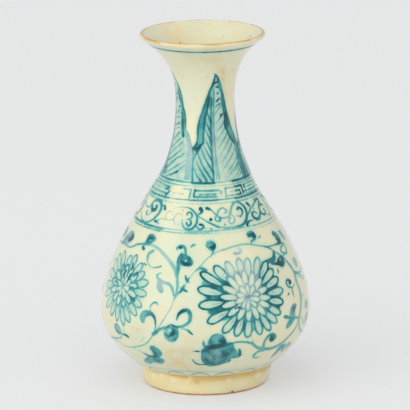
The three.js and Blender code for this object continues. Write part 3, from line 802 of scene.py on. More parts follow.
# Curls, thorns, dots and dashes of one side
CURLS = (
    ([(6.2, 124.6), (5, 122.4), (3.9, 120.4)], (1.8, 0.8), (0.5, 0.34)),
    ([(4.2, 127.4), (6.6, 126.6), (7, 128.4)], 1.6, 0.85),
    ([(36, 133.4), (39.4, 133), (40.4, 131.4)], (1.2, 2.4, 1.4), (0.6, 0.85)),
    ([(42.8, 129.6), (44.8, 129.8), (47.2, 130.9)], (0.6, 1.3, 0.5), (0.4, 0.75)),
    ([(46.7, 122.5), (52.8, 121.7), (58.9, 121.4), (65, 120.8), (70.6, 119.4)], (1.3, 1.1, 2.0, 1.2),
     (0.5, 0.55)),
    ([(63, 127), (63.4, 124.6), (65, 122.4)], (1.0, 2.8, 1.6), (0.6, 0.85)),
    ([(70.6, 119.2), (70, 115.4), (67.8, 112.3), (63.9, 113.5), (61.7, 115.4), (63.3, 117.7), (66.7, 118.5),
      (70.6, 119.2)], (1.6, 1.9, 1.4), (0.5, 0.42)),
    ([(60.6, 111.6), (64, 112.2), (67.8, 112.3)], 1.2, 0.45),
    ([(40, 111.5), (44.4, 111.7), (50, 112), (52, 113.6), (53.3, 116.6)], (2.0, 3.4, 4.2, 2.4),
     (0.62, 0.75)),
    ([(47.2, 109.4), (51, 108.4), (54.4, 107.7)], (1.4, 3.0), (0.6, 0.85)),
    ([(50.8, 104.6), (51, 102.8), (50.3, 101)], (0.8, 1.8, 0.8), (0.6, 0.85)),
    ([(66, 93), (63.9, 89.6), (60.6, 87.3), (56.7, 88.5), (55, 90.8), (55.6, 93.5), (57.8, 93.9),
      (59.7, 91.7), (58, 91.1)], (0.7, 1.0, 1.6, 1.6, 2.2), (0.34, 0.46, 0.6, 0.9)),
    ([(59.4, 86.9), (58.9, 83), (59.7, 79)], (0.8, 1.3, 0.8), 0.6),
    ([(53.6, 82.8), (55, 83.8)], (0.9, 1.4), 0.75),
    ([(60.8, 72.4), (58.6, 71.2), (57, 68.4)], (1.0, 1.8, 1.0), 0.62),
    ([(48.6, 66.9), (52.8, 64.8), (58, 63), (62, 61.6)], (2.6, 1.8, 2.0), (0.6, 0.42)),
    ([(34.6, 44.8), (34.2, 48.5), (35.6, 53), (38.4, 55.2), (41.2, 53.4), (41.4, 51.3), (39.8, 49.8),
      (38.6, 51.4)], (2.6, 2.2, 2.4, 3.4), (0.44, 0.46, 0.55, 0.72)),
    ([(39, 52.6), (39.6, 50.6)], 2.2, 0.85),
    ([(36, 40.8), (32.2, 41.5), (30, 39.2), (30.2, 36.2), (32, 35), (35.2, 35.6)], (0.7, 1.8, 3.0, 1.4, 0.7),
     (0.6, 0.42, 0.4, 0.7)),
    ([(20, 40.8), (19.6, 43.4), (19, 46.4)], (2.6, 2.4, 1.4), (0.8, 0.72)),
    ([(0.4, 33.4), (-3, 32.7), (-5.6, 33.4), (-7.2, 35.6), (-8.2, 38.4)], (1.2, 1.5, 0.8),
     (0.66, 0.85, 0.8)),
    ([(-7, 46.2), (-4.6, 46.2)], (0.8, 1.5), 0.9),
    ([(-4.6, 46.2), (0.4, 46.2)], (1.4, 1.0), (0.34, 0.28)),
    ([(14.6, 36.4), (13.9, 33.8)], (1.2, 0.8), 0.75),
    ([(7.8, 55.4), (10.2, 53.4)], (2.4, 3.0), 0.66),
    ([(-20.4, 58.2), (-18, 61), (-17.6, 63.6)], (1.6, 3.4, 1.4), (0.66, 0.82)),
    ([(-22, 60), (-20.6, 57.6)], 1.2, 0.7),
    ([(-30, 58.5), (-26.7, 62.3), (-23.3, 64.8), (-20, 66.5)], (2.2, 2.2, 1.4), (0.4, 0.5)),
    ([(-18, 67.6), (-15.6, 66.7), (-11.7, 68), (-8.8, 71.5), (-8.3, 76.4), (-9.8, 80), (-12.6, 79.6),
      (-15, 76.4), (-15.9, 72.2)], (1.6, 1.8, 2.8, 3.0, 2.4, 1.0), (0.66, 0.5, 0.5, 0.85, 0.6)),
    ([(-13.3, 65.4), (-10, 64.4), (-7.2, 61)], (0.6, 2.0, 1.0), (0.3, 0.5, 0.85)),
    ([(-29, 59), (-27.4, 60.6)], 2.4, 0.55),
    ([(-36.4, 68.2), (-37, 71.4), (-35.6, 74.6), (-32.6, 75.6), (-29.8, 74), (-28.4, 70), (-28.2, 64.6),
      (-29.1, 60)], (3.6, 4.2, 3.0, 2.0, 1.2, 0.9), (0.4, 0.46, 0.72, 0.5, 0.36)),
    ([(-35.2, 69), (-34.6, 72.4), (-31.4, 74.4), (-28.8, 72.6)], (0.8, 1.8, 1.4), (0.5, 0.78)),
    ([(-31, 76.2), (-32.2, 80), (-30.6, 83.5), (-28.3, 84.4), (-27.2, 82)], (0.7, 1.0, 1.4, 0.8),
     (0.34, 0.44, 0.6)),
    ([(-19.2, 126.6), (-17.6, 127.6), (-15, 127.2), (-13.6, 124.6), (-13.2, 121.4)], (2.4, 2.4, 1.5),
     (0.5, 0.6)),
    ([(-17.9, 126.6), (-17.3, 126.2)], 1.6, 0.95),
    ([(-20.6, 126.6), (-20, 124.6)], 1.0, 0.4),
    ([(-15.6, 116.4), (-13, 115), (-9.6, 115)], (1.4, 2.4, 1.2), (0.72, 0.88, 0.8)),
    ([(-16, 121.5), (-17.4, 117.7), (-17.3, 112), (-17.2, 106)], (3.0, 3.4, 2.6, 1.6), (0.62, 0.55, 0.42)),
    ([(-10.4, 127), (-8.8, 128.6), (-7.2, 129.2)], (0.9, 1.9, 1.2), (0.5, 0.6)),
    ([(-14.6, 97.4), (-12.8, 96), (-10.4, 94.4)], (1.0, 2.0, 1.0), (0.6, 0.82)),
    ([(-12.8, 99.2), (-13.4, 96.4), (-14.6, 93.8)], (0.8, 1.6, 1.2), 0.66),
    ([(-12.2, 106.6), (-11.4, 103.4), (-9.6, 101.6)], (0.8, 1.8, 1.0), (0.6, 0.8)),
    ([(-9.8, 104.8), (-11.2, 103)], (0.6, 1.4), 0.7),
    ([(-6, 110), (-2.6, 112.2), (0.6, 110.4)], (0.8, 1.8, 2.4), (0.4, 0.62)),
    ([(-2.6, 107.8), (-0.4, 108)], 2.2, 0.95),
    ([(-28.6, 106.8), (-31, 105), (-29.4, 102.2), (-26, 100.4), (-21.4, 99), (-19.4, 95.4), (-18.3, 90.8)],
     (1.0, 2.4, 2.2, 2.6, 1.4), (0.36, 0.32, 0.3, 0.36)),
    ([(-28.6, 100), (-27.8, 96.6), (-26.4, 93.8)], (3.4, 5.0, 3.8), 0.36),
    ([(-38.4, 121.8), (-41.4, 119.2), (-41.2, 115.4), (-39.4, 111.9), (-36, 110), (-32.2, 110.4),
      (-29.4, 111.7)], (2.6, 2.8, 1.6, 1.2, 1.2, 1.3), (0.32, 0.34, 0.28, 0.34, 0.5)),
    ([(-45.6, 131), (-42.4, 130.4)], (1.8, 2.4), 0.78),
    ([(-46.6, 129), (-47.4, 126.4)], (2.4, 3.0), 0.5),
    ([(-48.8, 122.8), (-47.2, 121.6)], 2.4, 0.75),
    ([(-67.6, 128.4), (-65.4, 126.2), (-68, 123.4)], (1.6, 3.0, 1.6), (0.75, 0.85)),
    ([(-58.6, 53.4), (-55, 52.3), (-50, 52.5), (-48.2, 51.7)], (1.4, 1.2, 2.2), (0.55, 0.5, 0.85)),
    ([(-53.9, 50.8), (-56.7, 47.7), (-61.7, 45.8), (-68.9, 43.8), (-80, 41.4)], (0.9, 2.0, 1.6),
     (0.4, 0.34)),
    ([(-38.3, 50.4), (-37, 53), (-35.6, 54.6)], 0.6, 0.34),
    ([(-40.2, 39.6), (-37.6, 37.6), (-33.6, 37)], (0.9, 2.2, 2.4), (0.72, 0.66)),
    ([(-35.8, 31), (-35.8, 28.2)], (1.4, 0.6), 0.3),
    ([(-46.7, 42.6), (-43.4, 40.8), (-40.2, 39.6)], 0.8, (0.34, 0.55)),
    ([(24.2, 125.2), (26, 123.4), (24.2, 121.4), (20.8, 121.6)], (1.6, 2.2, 2.0), (0.18, 0.28, 0.42)),
    ([(-42.6, 111.4), (-41, 110.8)], (1.0, 1.2), 0.75),
)

# Darker and softer places inside the leaves and buds: path, width and strength
CORES = (
    ([(0, 47.5), (6, 50), (13, 51)], (2.4, 3.4, 2.4), 0.34),
    ([(9, 46), (12, 41), (10, 36)], (3.0, 6.0, 3.0), 0.3),
    ([(-1, 42), (1, 36), (5, 33)], (2.0, 3.0, 2.0), 0.3),
    ([(4, 44), (5, 38)], (1.4, 2.0), 0.22),
    ([(9, 58), (10.4, 54), (9, 51)], (1.6, 2.6, 2.0), 0.4),
    ([(1.4, 56), (3.4, 52.4)], (1.4, 2.0), 0.24),
    ([(3, 129.6), (5.6, 130.2)], (1.6, 2.4), 0.16),
    ([(5.4, 127), (7, 128.4)], (1.6, 2.2), 0.4),
    ([(40, 133.6), (41, 131.2)], (2.0, 2.8), 0.3),
    ([(64, 125), (66, 122.4), (63, 121.6)], (2.4, 3.2, 2.0), 0.5),
    ([(57, 66), (55, 69), (57, 72)], (1.8, 2.4, 1.8), 0.24),
    ([(-21.6, 59), (-20, 56), (-17, 56.4)], (1.8, 2.4, 1.8), 0.18),
    ([(-18, 66), (-16.2, 62)], (1.6, 2.4), 0.3),
    ([(-44, 131.2), (-46, 129.6)], (2.0, 3.0), 0.3),
    ([(-66, 127), (-69, 124)], (3.0, 4.0), 0.44),
    ([(-74, 125), (-78, 122)], (4.0, 5.0), 0.2),
    ([(-32, 44), (-30, 40), (-33, 37)], (1.6, 2.6, 2.4), 0.34),
    ([(-40, 33), (-36, 34.6), (-31, 33)], (2.0, 3.0, 2.6), 0.28),
    ([(-28, 45), (-27.6, 42)], (1.6, 2.0), 0.24),
    ([(-58.6, 54), (-56.4, 52.6)], (1.8, 2.2), 0.24),
    ([(68, 97), (74, 92), (80, 88)], (2.0, 4.0, 4.0), 0.22),
    ([(68, 78), (72, 76)], (2.0, 4.0), 0.14),
    ([(66, 60), (70, 54), (76, 50)], (3.0, 4.0, 3.0), 0.18),
    ([(-11, 118.4), (-9.4, 116)], (1.6, 2.4), 0.3),
)

# Spots left white, and specks of heaped cobalt: degrees, height and width
WHITE_SPOTS = ((4.2, 128.6, 0.9), (-12.8, 117.4, 1.6), (-19.8, 63.3, 1.9), (57, 110.4, 1.7),
               (17.7, 82.0, 0.8))
INK_SPECKS = ((17.2, 83.0, 1.6), (18.6, 81.2, 1.6), (16.7, 80.8, 1.4), (58.4, 110.2, 1.6), (55.6, 107, 1.8))

# Chrysanthemums: the centre of each flower, and the tips of its petals, in front with width and load.
# Washes behind the front flower: middle, half its width and height, and strength. Those behind the
# side flower share its centre.
# In the middle of the front flower, from about 12 to 37 degrees, the wash and the petals are drawn light and
# the cobalt is greyed further down: painted reflection of the right softbox.
BLOOM_CENTRE = (25, 88)
BLOOM_POOLS = (((25, 88), 18, 21, 0.24), ((9, 88), 9, 16, 0.68), ((41, 88), 6.5, 17, 0.8),
               ((26, 69), 14, 8, 0.5), ((41, 103), 4.5, 8, 0.5), ((3, 99), 5, 8, 0.5))
SIDE_BLOOM_POOLS = ((19, 24, 0.1), (13.5, 17, 0.12), (8, 10, 0.06))
BLOOM_PETALS = (
    (22.8, 117.8, 5.8, 0.32), (29.4, 117, 5.8, 0.32), (37.8, 116.2, 5.6, 0.36), (14, 116.2, 5.8, 0.32),
    (43.9, 112, 5.6, 0.72), (46.7, 105.2, 6.0, 0.6), (48.9, 98, 6.0, 0.7), (50.4, 88.2, 6.0, 0.52),
    (48.6, 79, 6.0, 0.8), (45.4, 70.6, 5.8, 0.52), (42.2, 64.2, 5.8, 0.42), (37.5, 58.9, 5.6, 0.46),
    (31.2, 57, 5.8, 0.48), (23.2, 56.2, 6.4, 0.52), (16.4, 58.4, 6.2, 0.5), (9.4, 62, 6.4, 0.6),
    (1.1, 70.8, 6.8, 0.66), (-3.6, 84, 6.8, 0.72), (-4.2, 96.8, 6.8, 0.72), (-2.8, 108.8, 5.8, 0.84),
    (6.0, 113.2, 6.8, 0.6))
BLOOM_MIDDLE = (
    (24.7, 109, 5.2, 0.3), (31, 106.5, 5.2, 0.32), (36, 101, 5.2, 0.36), (38.6, 93, 5.2, 0.4),
    (39.8, 85, 5.2, 0.5), (38.5, 78, 5.2, 0.46), (35, 72, 5.2, 0.4), (30, 69.5, 5.2, 0.42),
    (24, 69, 5.4, 0.4), (17.6, 71, 5.4, 0.5), (12, 75, 5.4, 0.62), (8.6, 82.5, 5.4, 0.62),
    (8, 90.5, 5.4, 0.62), (9.6, 98.5, 5.4, 0.56), (13.6, 105, 5.2, 0.34), (19, 108, 5.2, 0.3))
SIDE_BLOOM_CENTRE = (-55.6, 91)
SIDE_BLOOM_TIPS = ((-51.7, 116.2), (-43.9, 111.2), (-40.3, 105), (-36, 98.5), (-35.8, 89.2), (-38, 79.2),
                   (-41, 71.5), (-46, 64.6), (-50.8, 60.8), (-57.2, 62.3), (-63.9, 65), (-71, 69.2),
                   (-76, 77.7), (-78, 86), (-79, 97), (-78.3, 106), (-74, 111.5), (-67.8, 115.4),
                   (-57.8, 114.6))

SIDE_BLOOM_DARKS = (
    ([(-57, 103), (-58, 97)], (2.2, 1.2), 0.72), ([(-51.4, 101), (-52.8, 95)], (2.6, 1.2), 0.74),
    ([(-66, 92), (-61, 91.4)], (1.8, 1.2), 0.6), ([(-46.4, 103.6), (-48.4, 100.6)], (2.6, 1.6), 0.66),
    ([(-43.6, 82.6), (-47.6, 85)], (2.4, 1.6), 0.6), ([(-62, 84), (-59, 87)], (1.8, 1.0), 0.56),
    ([(-53, 80), (-54, 84)], (1.8, 1.0), 0.5), ([(-52.8, 110), (-52, 105)], (1.6, 2.0), 0.6),
    ([(-60.4, 106), (-60.8, 101)], (1.4, 1.8), 0.6), ([(-46, 92.4), (-49.6, 91.6)], (1.4, 1.8), 0.56),
)

# Shape of a petal: share of its length, and share of its half width there
PETAL_SWELL = ((0.02, 0.25), (0.2, 0.6), (0.42, 0.88), (0.66, 1.0), (0.84, 0.84), (0.96, 0.42))


def paint_petal(canvas, base, tip, width, line, load, fill):
    """A petal over what lies under it: thinly washed inside, its outline heavier to one side."""
    base, tip = np.array(base, float), np.array(tip, float)
    degree = math.radians(1) * canvas.radius_at((base[1] + tip[1]) / 2)
    scale = np.array([degree, 1.0])
    axis = (tip - base) * scale
    side = np.array([-axis[1], axis[0]]) / np.hypot(*axis)

    def at(along, across):
        return tuple(base + (axis * along + side * across * width / 2) / scale)

    left = [at(along, swell) for along, swell in PETAL_SWELL]
    right = [at(along, -swell) for along, swell in reversed(PETAL_SWELL)]
    canvas.bare(left + [tuple(tip)] + right, fill)
    canvas.line(left + [tuple(tip)] + right, (line * 0.8, line, line * 1.4, line * 1.1, line * 0.8),
                (load, load * 1.1, load))
    canvas.tint([at(0.1, 0), at(0.35, 0.1), at(0.55, 0)], (0.6, 1.2, 0.4), load * 0.4)


def paint_petals(canvas, turn, centre, petals, inner, line, fill):
    """Petals (tip, width, load) from a share of the way out to their tips."""
    for degrees, height, width, load in petals:
        base = (centre[0] + (degrees - centre[0]) * inner + turn, centre[1] + (height - centre[1]) * inner)
        paint_petal(canvas, base, (degrees + turn, height), width, line, load, fill)


def oval(centre, count, across, up, start=0.0):
    """Points spaced evenly round an oval, in degrees and millimetres."""
    angles = [start + math.tau * k / count for k in range(count)]
    return [(centre[0] + across * math.cos(a), centre[1] + up * math.sin(a)) for a in angles]


def whorl(centre, count, across, up, start, width, loads, seed):
    """A ring of petals round an oval, a little uneven, with loads given round from the right."""
    chance = random.Random(seed)
    petals = []
    for k, (degrees, height) in enumerate(oval(centre, count, across, up, start)):
        load = float(np.interp(k / count, np.linspace(0, 1, len(loads)), loads)) * chance.uniform(0.85, 1.15)
        petals.append((degrees + chance.uniform(-0.7, 0.7), height + chance.uniform(-0.9, 0.9),
                       width * chance.uniform(0.9, 1.08), load))
    return petals


def paint_blooms(canvas, turn):
    """The open flower on the right and the watery one on the left."""
    centre = BLOOM_CENTRE
    shift = turned_by(turn, [centre])[0][0] - centre[0]
    for middle, across, up, load in BLOOM_POOLS:
        canvas.pool([(a + shift, h) for a, h in oval(middle, 20, across, up)], load, 4)
    paint_petals(canvas, shift, centre, BLOOM_PETALS, 0.5, 1.3, 0.1)
    paint_petals(canvas, shift, centre, BLOOM_MIDDLE, 0.16, 1.2, 0.05)
    heart = whorl(centre, 10, 7.6, 10.4, 0.25, 4.2, (0.4, 0.32, 0.32, 0.42, 0.36), 2)
    paint_petals(canvas, shift, centre, heart, 0.04, 1.2, 0.03)
    canvas.tint([(centre[0] + shift - 1.6, 88), (centre[0] + shift + 0.6, 88.5)], 3.0, 0.4, 2)

    centre = SIDE_BLOOM_CENTRE
    shift = turned_by(turn, [centre])[0][0] - centre[0]
    for across, up, load in SIDE_BLOOM_POOLS:
        canvas.pool([(a + shift, h) for a, h in oval(centre, 20, across, up)], load, 5)
    outer = [(*tip, 5.6, 0.4 if tip[0] > -70 else 0.32) for tip in SIDE_BLOOM_TIPS]
    paint_petals(canvas, shift, centre, outer, 0.44, 1.1, 0.14)
    middle = whorl(centre, 13, 13.2, 17, 0.2, 5.0, (0.52, 0.56, 0.52, 0.46, 0.38, 0.38, 0.5, 0.5), 4)
    paint_petals(canvas, shift, centre, middle, 0.26, 1.2, 0.07)
    heart = whorl(centre, 8, 6.8, 9.4, 0.6, 4.0, (0.44, 0.5, 0.4, 0.42), 5)
    paint_petals(canvas, shift, centre, heart, 0.1, 0.9, 0.02)
    paint_lines(canvas, SIDE_BLOOM_DARKS, turn)


# Scalloped border over the foot: how many, and the shape of one in degrees and millimetres
SCALLOPS = 19
SCALLOP_MIDDLE = -4.5
SCALLOP_HALF_WIDTH = 9.6
SCALLOP_TOP = 22.8
SCALLOP_DROP = 5.6
SCALLOP_SHARES = (-1, -0.75, -0.5, -0.2, 0.2, 0.5, 0.75, 1)


def paint_body(canvas):
    """Chrysanthemum scroll on both sides, and the scalloped border over the foot."""
    for turn in SIDES:
        paint_lines(canvas, STEMS, turn, wider=1.12, stronger=0.96)
        for outline, load in LEAVES:
            canvas.pool(turned_by(turn, outline), load, 1.2)
            canvas.line(turned_by(turn, outline + outline[:1]), 0.8, load * 1.1)
        for path, width, load in CORES:
            canvas.tint(turned_by(turn, path), width, load * 1.25, 2.0)
        paint_lines(canvas, CURLS, turn, wider=1.12, stronger=1.05)
        paint_blooms(canvas, turn)
        for degrees, height, width in WHITE_SPOTS:
            canvas.spare_spot(turned_by(turn, [(degrees, height)])[0], width)
        for degrees, height, width in INK_SPECKS:
            canvas.line(turned_by(turn, [(degrees, height), (degrees + 0.4, height)]), width, 1.0)
    for k in range(SCALLOPS):
        middle = SCALLOP_MIDDLE + (k - SCALLOPS // 2) * 360 / SCALLOPS
        arch = [(middle + SCALLOP_HALF_WIDTH * t, SCALLOP_TOP - SCALLOP_DROP * t * t)
                for t in SCALLOP_SHARES]
        canvas.line(arch, (1.0, 1.8, 1.0), (0.4, 0.46, 0.4))
    # Two thin rings over the scallops, and a faint wash behind them
    paint_ring(canvas, 24.6, 1.2, 0.3, 9)
    paint_ring(canvas, 27.0, 0.9, 0.18, 8)
    canvas.tint([(-180, 22.5), (0, 22.5), (180, 22.5)], 6.0, 0.1, 2.0)


# Turned sections

# In millimetres: how near a seam its close level lies
SEAM_INSET = 0.05
# In metres: how near points are merged, how flat an end's edges lie, and how near the top is the lip
MERGE_REACH = 2e-6
FLAT_REACH = 1e-6
LIP_REACH = 1e-3


def levels(low, high, spacing):
    """Heights from one seam to another, with a close one beside each seam."""
    steps = max(2, round(abs(high - low) / spacing))
    inset = SEAM_INSET if high > low else -SEAM_INSET
    between = [low + (high - low) * i / steps for i in range(1, steps)]
    return [low, low + inset] + between + [high - inset, high]


def even_levels(outline, low, high, spacing):
    """Heights spaced evenly along the outer surface, with a close one beside each seam."""
    fine = np.linspace(low, high, 400)
    arc = np.concatenate([[0], np.cumsum(np.hypot(np.diff(fine), np.diff(outline.at(fine)[0])))])
    steps = max(2, round(arc[-1] / spacing))
    between = [float(h) for h in np.interp(np.linspace(0, arc[-1], steps + 1)[1:-1], arc, fine)]
    return [low, low + SEAM_INSET] + between + [high - SEAM_INSET, high]


def arc_points(centre, radius, start, end, steps):
    return [(centre[0] + radius * math.cos(a), centre[1] + radius * math.sin(a))
            for a in np.linspace(start, end, steps + 1)]


def turned(name, profile, form, closed=True):
    """Spins a profile of (radius, height) points, in millimetres, round the vase's axis."""
    bm = bmesh.new()
    verts = [bm.verts.new((0, -radius * MM, height * MM)) for radius, height in profile]
    edges = [bm.edges.new(pair) for pair in zip(verts[:-1], verts[1:])]
    if closed:
        edges.append(bm.edges.new((verts[-1], verts[0])))
    # A quarter is spun, then copied to a half and to the whole, and its seams are merged
    bmesh.ops.spin(bm, geom=verts + edges, cent=(0, 0, 0), axis=(0, 0, 1), angle=math.pi / 2,
                   steps=form.turns // 4, use_duplicate=False)
    for angle in (math.pi / 2, math.pi):
        copy = bmesh.ops.duplicate(bm, geom=bm.verts[:] + bm.edges[:] + bm.faces[:])["geom"]
        copied = [part for part in copy if isinstance(part, bmesh.types.BMVert)]
        bmesh.ops.rotate(bm, verts=copied, cent=(0, 0, 0), matrix=Matrix.Rotation(angle, 3, "Z"))
    bmesh.ops.remove_doubles(bm, verts=bm.verts, dist=MERGE_REACH)
    bmesh.ops.recalc_face_normals(bm, faces=bm.faces)
    for face in bm.faces:
        face.smooth = True
    # The edges where a section ends are sharp, except on the rounded lip
    ends = (min(height for _, height in profile) * MM, max(height for _, height in profile) * MM)
    for edge in bm.edges:
        heights = [vert.co.z for vert in edge.verts]
        if any(all(abs(height - end) < FLAT_REACH for height in heights) for end in ends):
            edge.smooth = name == "mouth_rim_turned" and heights[0] > ends[1] - LIP_REACH
    mesh = bpy.data.meshes.new(name)
    bm.to_mesh(mesh)
    bm.free()
    piece = bpy.data.objects.new(name, mesh)
    bpy.context.scene.collection.objects.link(piece)
    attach(piece, BODY)
    return piece


# Soft patches: degrees and millimetres of the middle, spread both ways, and strength.
# On the lip the second number is the angle round its section, 0 outside, 90 on top, 180 inside.
# First the places where the cobalt is greyed: partly cobalt that turned lavender, and partly painted
# reflection of the softboxes, which is what the patches at (25, 93), (22, 114) and (24, 123) on the
# front flower, at (20, 149) and (-30, 148) in the bands and at (13.5, 200), (-28, 192) and (-27, 206)
# on the neck are. Then the stains of iron in the glaze.
GREYED_AND_REFLECTED_PLACES = (
    (25, 93, 13, 19, 0.95), (22, 114, 12, 8, 0.9), (-28, 98, 5, 7, 0.9), (-73, 124, 12, 7, 0.8),
    (-35, 72, 5, 6, 0.35), (57, 69, 6, 7, 0.55), (5, 40, 9, 10, 0.35), (75, 125, 8, 8, 0.9),
    (75, 103, 6, 6, 0.7), (74, 68, 6, 6, 0.8), (76, 57, 6, 6, 0.9), (58, 38, 5, 4, 0.8),
    (48, 35, 6, 5, 0.4), (-57, 56, 6, 4, 0.6), (-47, 131, 6, 4, 0.35), (24, 123, 6, 4, 0.8),
    (13.5, 200, 3, 26, 0.8), (-28, 192, 8, 22, 0.62), (-27, 206, 7, 7, 0.62), (-80, 240, 12, 14, 0.7),
    (84, 190, 8, 20, 0.6), (20, 149, 7, 8, 0.5), (-30, 148, 12, 8, 0.8), (67, 84, 6, 22, 0.5),
    (-38, 113, 7, 8, 0.3), (0, 22, 1000, 5, 0.5), (4, 44, 8, 6, 0.4),
)
STAINS = (
    (14, 274, 17, 2.5, 0.4), (22, 266, 9, 5, 0.3), (35, 253, 7, 9, 0.5), (43, 244, 6, 8, 0.3),
    (30, 262, 5, 6, 0.35), (50, 262, 4, 2, 0.5), (-17, 44, 13, 7, 0.4), (-14, 32, 17, 6, 0.45),
    (-18, 62, 5, 4, 0.16), (-41, 60, 4.5, 2.6, 0.5), (-44, 54, 5, 2.5, 0.34), (31, 52.5, 3.5, 2.4, 0.46),
    (-66, 60, 8, 6, 0.26), (-10, 47, 5, 2, 0.22), (27, 206, 4, 3, 0.3), (44, 203, 6, 5, 0.2),
    (24, 137, 5, 1.8, 0.2), (45, 137, 3, 1.5, 0.25), (-52, 252, 6, 5, 0.12), (-17, 240, 7, 3, 0.14),
    (118, 40, 14, 8, 0.26), (150, 262, 12, 9, 0.3), (-120, 48, 12, 9, 0.26), (-160, 270, 16, 5, 0.3),
    (172, 33, 14, 6, 0.3), (95, 58, 6, 3, 0.3), (-98, 250, 8, 8, 0.26), (-140, 120, 9, 4, 0.16),
    (200, 246, 6, 6, 0.3), (130, 90, 8, 3, 0.14),
)
# The iron wash on the lip, and the places where it is thick on the lip and inside the mouth
LIP_DRESSING = tuple((angle, 30 + 8 * math.sin(angle / 23), 17, 45, 0.55) for angle in range(-180, 180, 15))
LIP_IRON = (
    (9, 90, 6, 34, 0.95), (8, 56, 5, 22, 0.6), (15, 80, 5, 34, 0.55), (38, 85, 8, 34, 0.9),
    (46, 56, 5, 26, 0.7), (26, 70, 6, 24, 0.4), (-18, 60, 4, 16, 0.3), (50, 112, 7, 14, 0.6),
    (-33, 94, 7, 26, 0.85), (-30, 65, 5, 20, 0.45), (-15, 112, 12, 10, 0.45), (24, 112, 9, 10, 0.5),
    (-55, 40, 10, 26, 0.45), (-64, 62, 9, 30, 0.5), (-80, 84, 14, 26, 0.4), (-45, 20, 6, 16, 0.4),
    (-22, 24, 5, 14, 0.25), (62, 100, 8, 18, 0.4), (75, 70, 8, 30, 0.3), (92, 96, 16, 16, 0.45),
    (120, 88, 14, 14, 0.3), (140, 96, 8, 14, 0.5), (162, 92, 10, 10, 0.3), (-175, 94, 12, 12, 0.4),
    (-150, 90, 9, 14, 0.4), (-128, 96, 12, 14, 0.5), (-104, 92, 10, 20, 0.4),
)
IRON_INSIDE = ((172, 286.5, 5, 0.8, 0.3), (-163, 286.5, 3, 0.6, 0.3), (104, 284, 5, 1.2, 0.3))
# Dark specks inside the mouth, and places among the painting where the glaze ran greener
MOUTH_SPECKS = ((-145.5, 275.8, 1.5, 0.8, 1.1), (104, 284, 1.4, 0.6, 0.8), (-9, 288, 1.2, 0.6, 0.8))
GREEN_PLACES = ((28, 128, 34, 14, 0.1), (2, 134, 16, 6, 0.08), (54, 95, 8, 14, 0.08), (24, 145, 10, 6, 0.06))
# On the foot: burnt chips, glaze pooled amber and glaze worn pale
FOOT_CHIPS = ((24, 2.0, 1.6, 1.0, 1.2), (38, 1.6, 3, 0.6, 0.7), (-48, 1.6, 4, 0.6, 0.6))
FOOT_AMBER = (
    (0, 17, 20, 2.2, 0.9), (-8, 13, 4, 4, 0.9), (-20, 16, 8, 2, 0.7), (14, 15, 16, 3, 0.85),
    (38, 15.5, 12, 3.4, 0.8), (60, 15, 12, 4, 0.6), (-30, 16.6, 14, 1.8, 0.6), (-55, 15.6, 12, 2.2, 0.5),
    (-14, 11, 3, 3, 0.4), (24, 9.5, 6, 4, 0.3), (48, 9, 5, 3, 0.25), (84, 14, 14, 5, 0.7),
    (110, 16, 16, 3, 0.7), (140, 15, 12, 4, 0.7), (165, 16, 12, 3, 0.6), (-170, 14, 10, 5, 0.7),
    (-145, 16, 14, 3, 0.7), (-118, 15, 12, 4, 0.6), (-90, 16, 12, 3, 0.6), (-75, 9, 6, 4, 0.3),
)
FOOT_WHITE = (
    (-52, 12, 4, 2, 0.8), (-42, 13.5, 2.4, 1.4, 0.9), (-30, 12, 3, 1.6, 0.8), (-14, 16, 1.6, 1.2, 0.7),
    (20, 12.5, 3, 1.6, 0.6), (72, 10, 4, 2.4, 0.5), (-20, 6, 12, 2.6, 0.5), (6, 6, 10, 2.4, 0.5),
    (100, 8, 12, 3, 0.5), (150, 9, 9, 3, 0.5), (-130, 9, 10, 3, 0.5), (34, 7, 9, 3, 0.6),
    (52, 11, 5, 2, 0.6), (62, 6, 8, 3, 0.45),
)


def patches(degrees, heights, places, turns=(0,)):
    """How strongly soft patches cover each point."""
    cover = np.zeros(len(degrees))
    for turn in turns:
        for middle, height, wide, tall, strength in places:
            gap = (degrees - middle - turn + 180) % 360 - 180
            spot = strength * np.exp(-(gap / wide) ** 2 - ((heights - height) / tall) ** 2)
            cover = 1 - (1 - cover) * (1 - spot)
    return cover


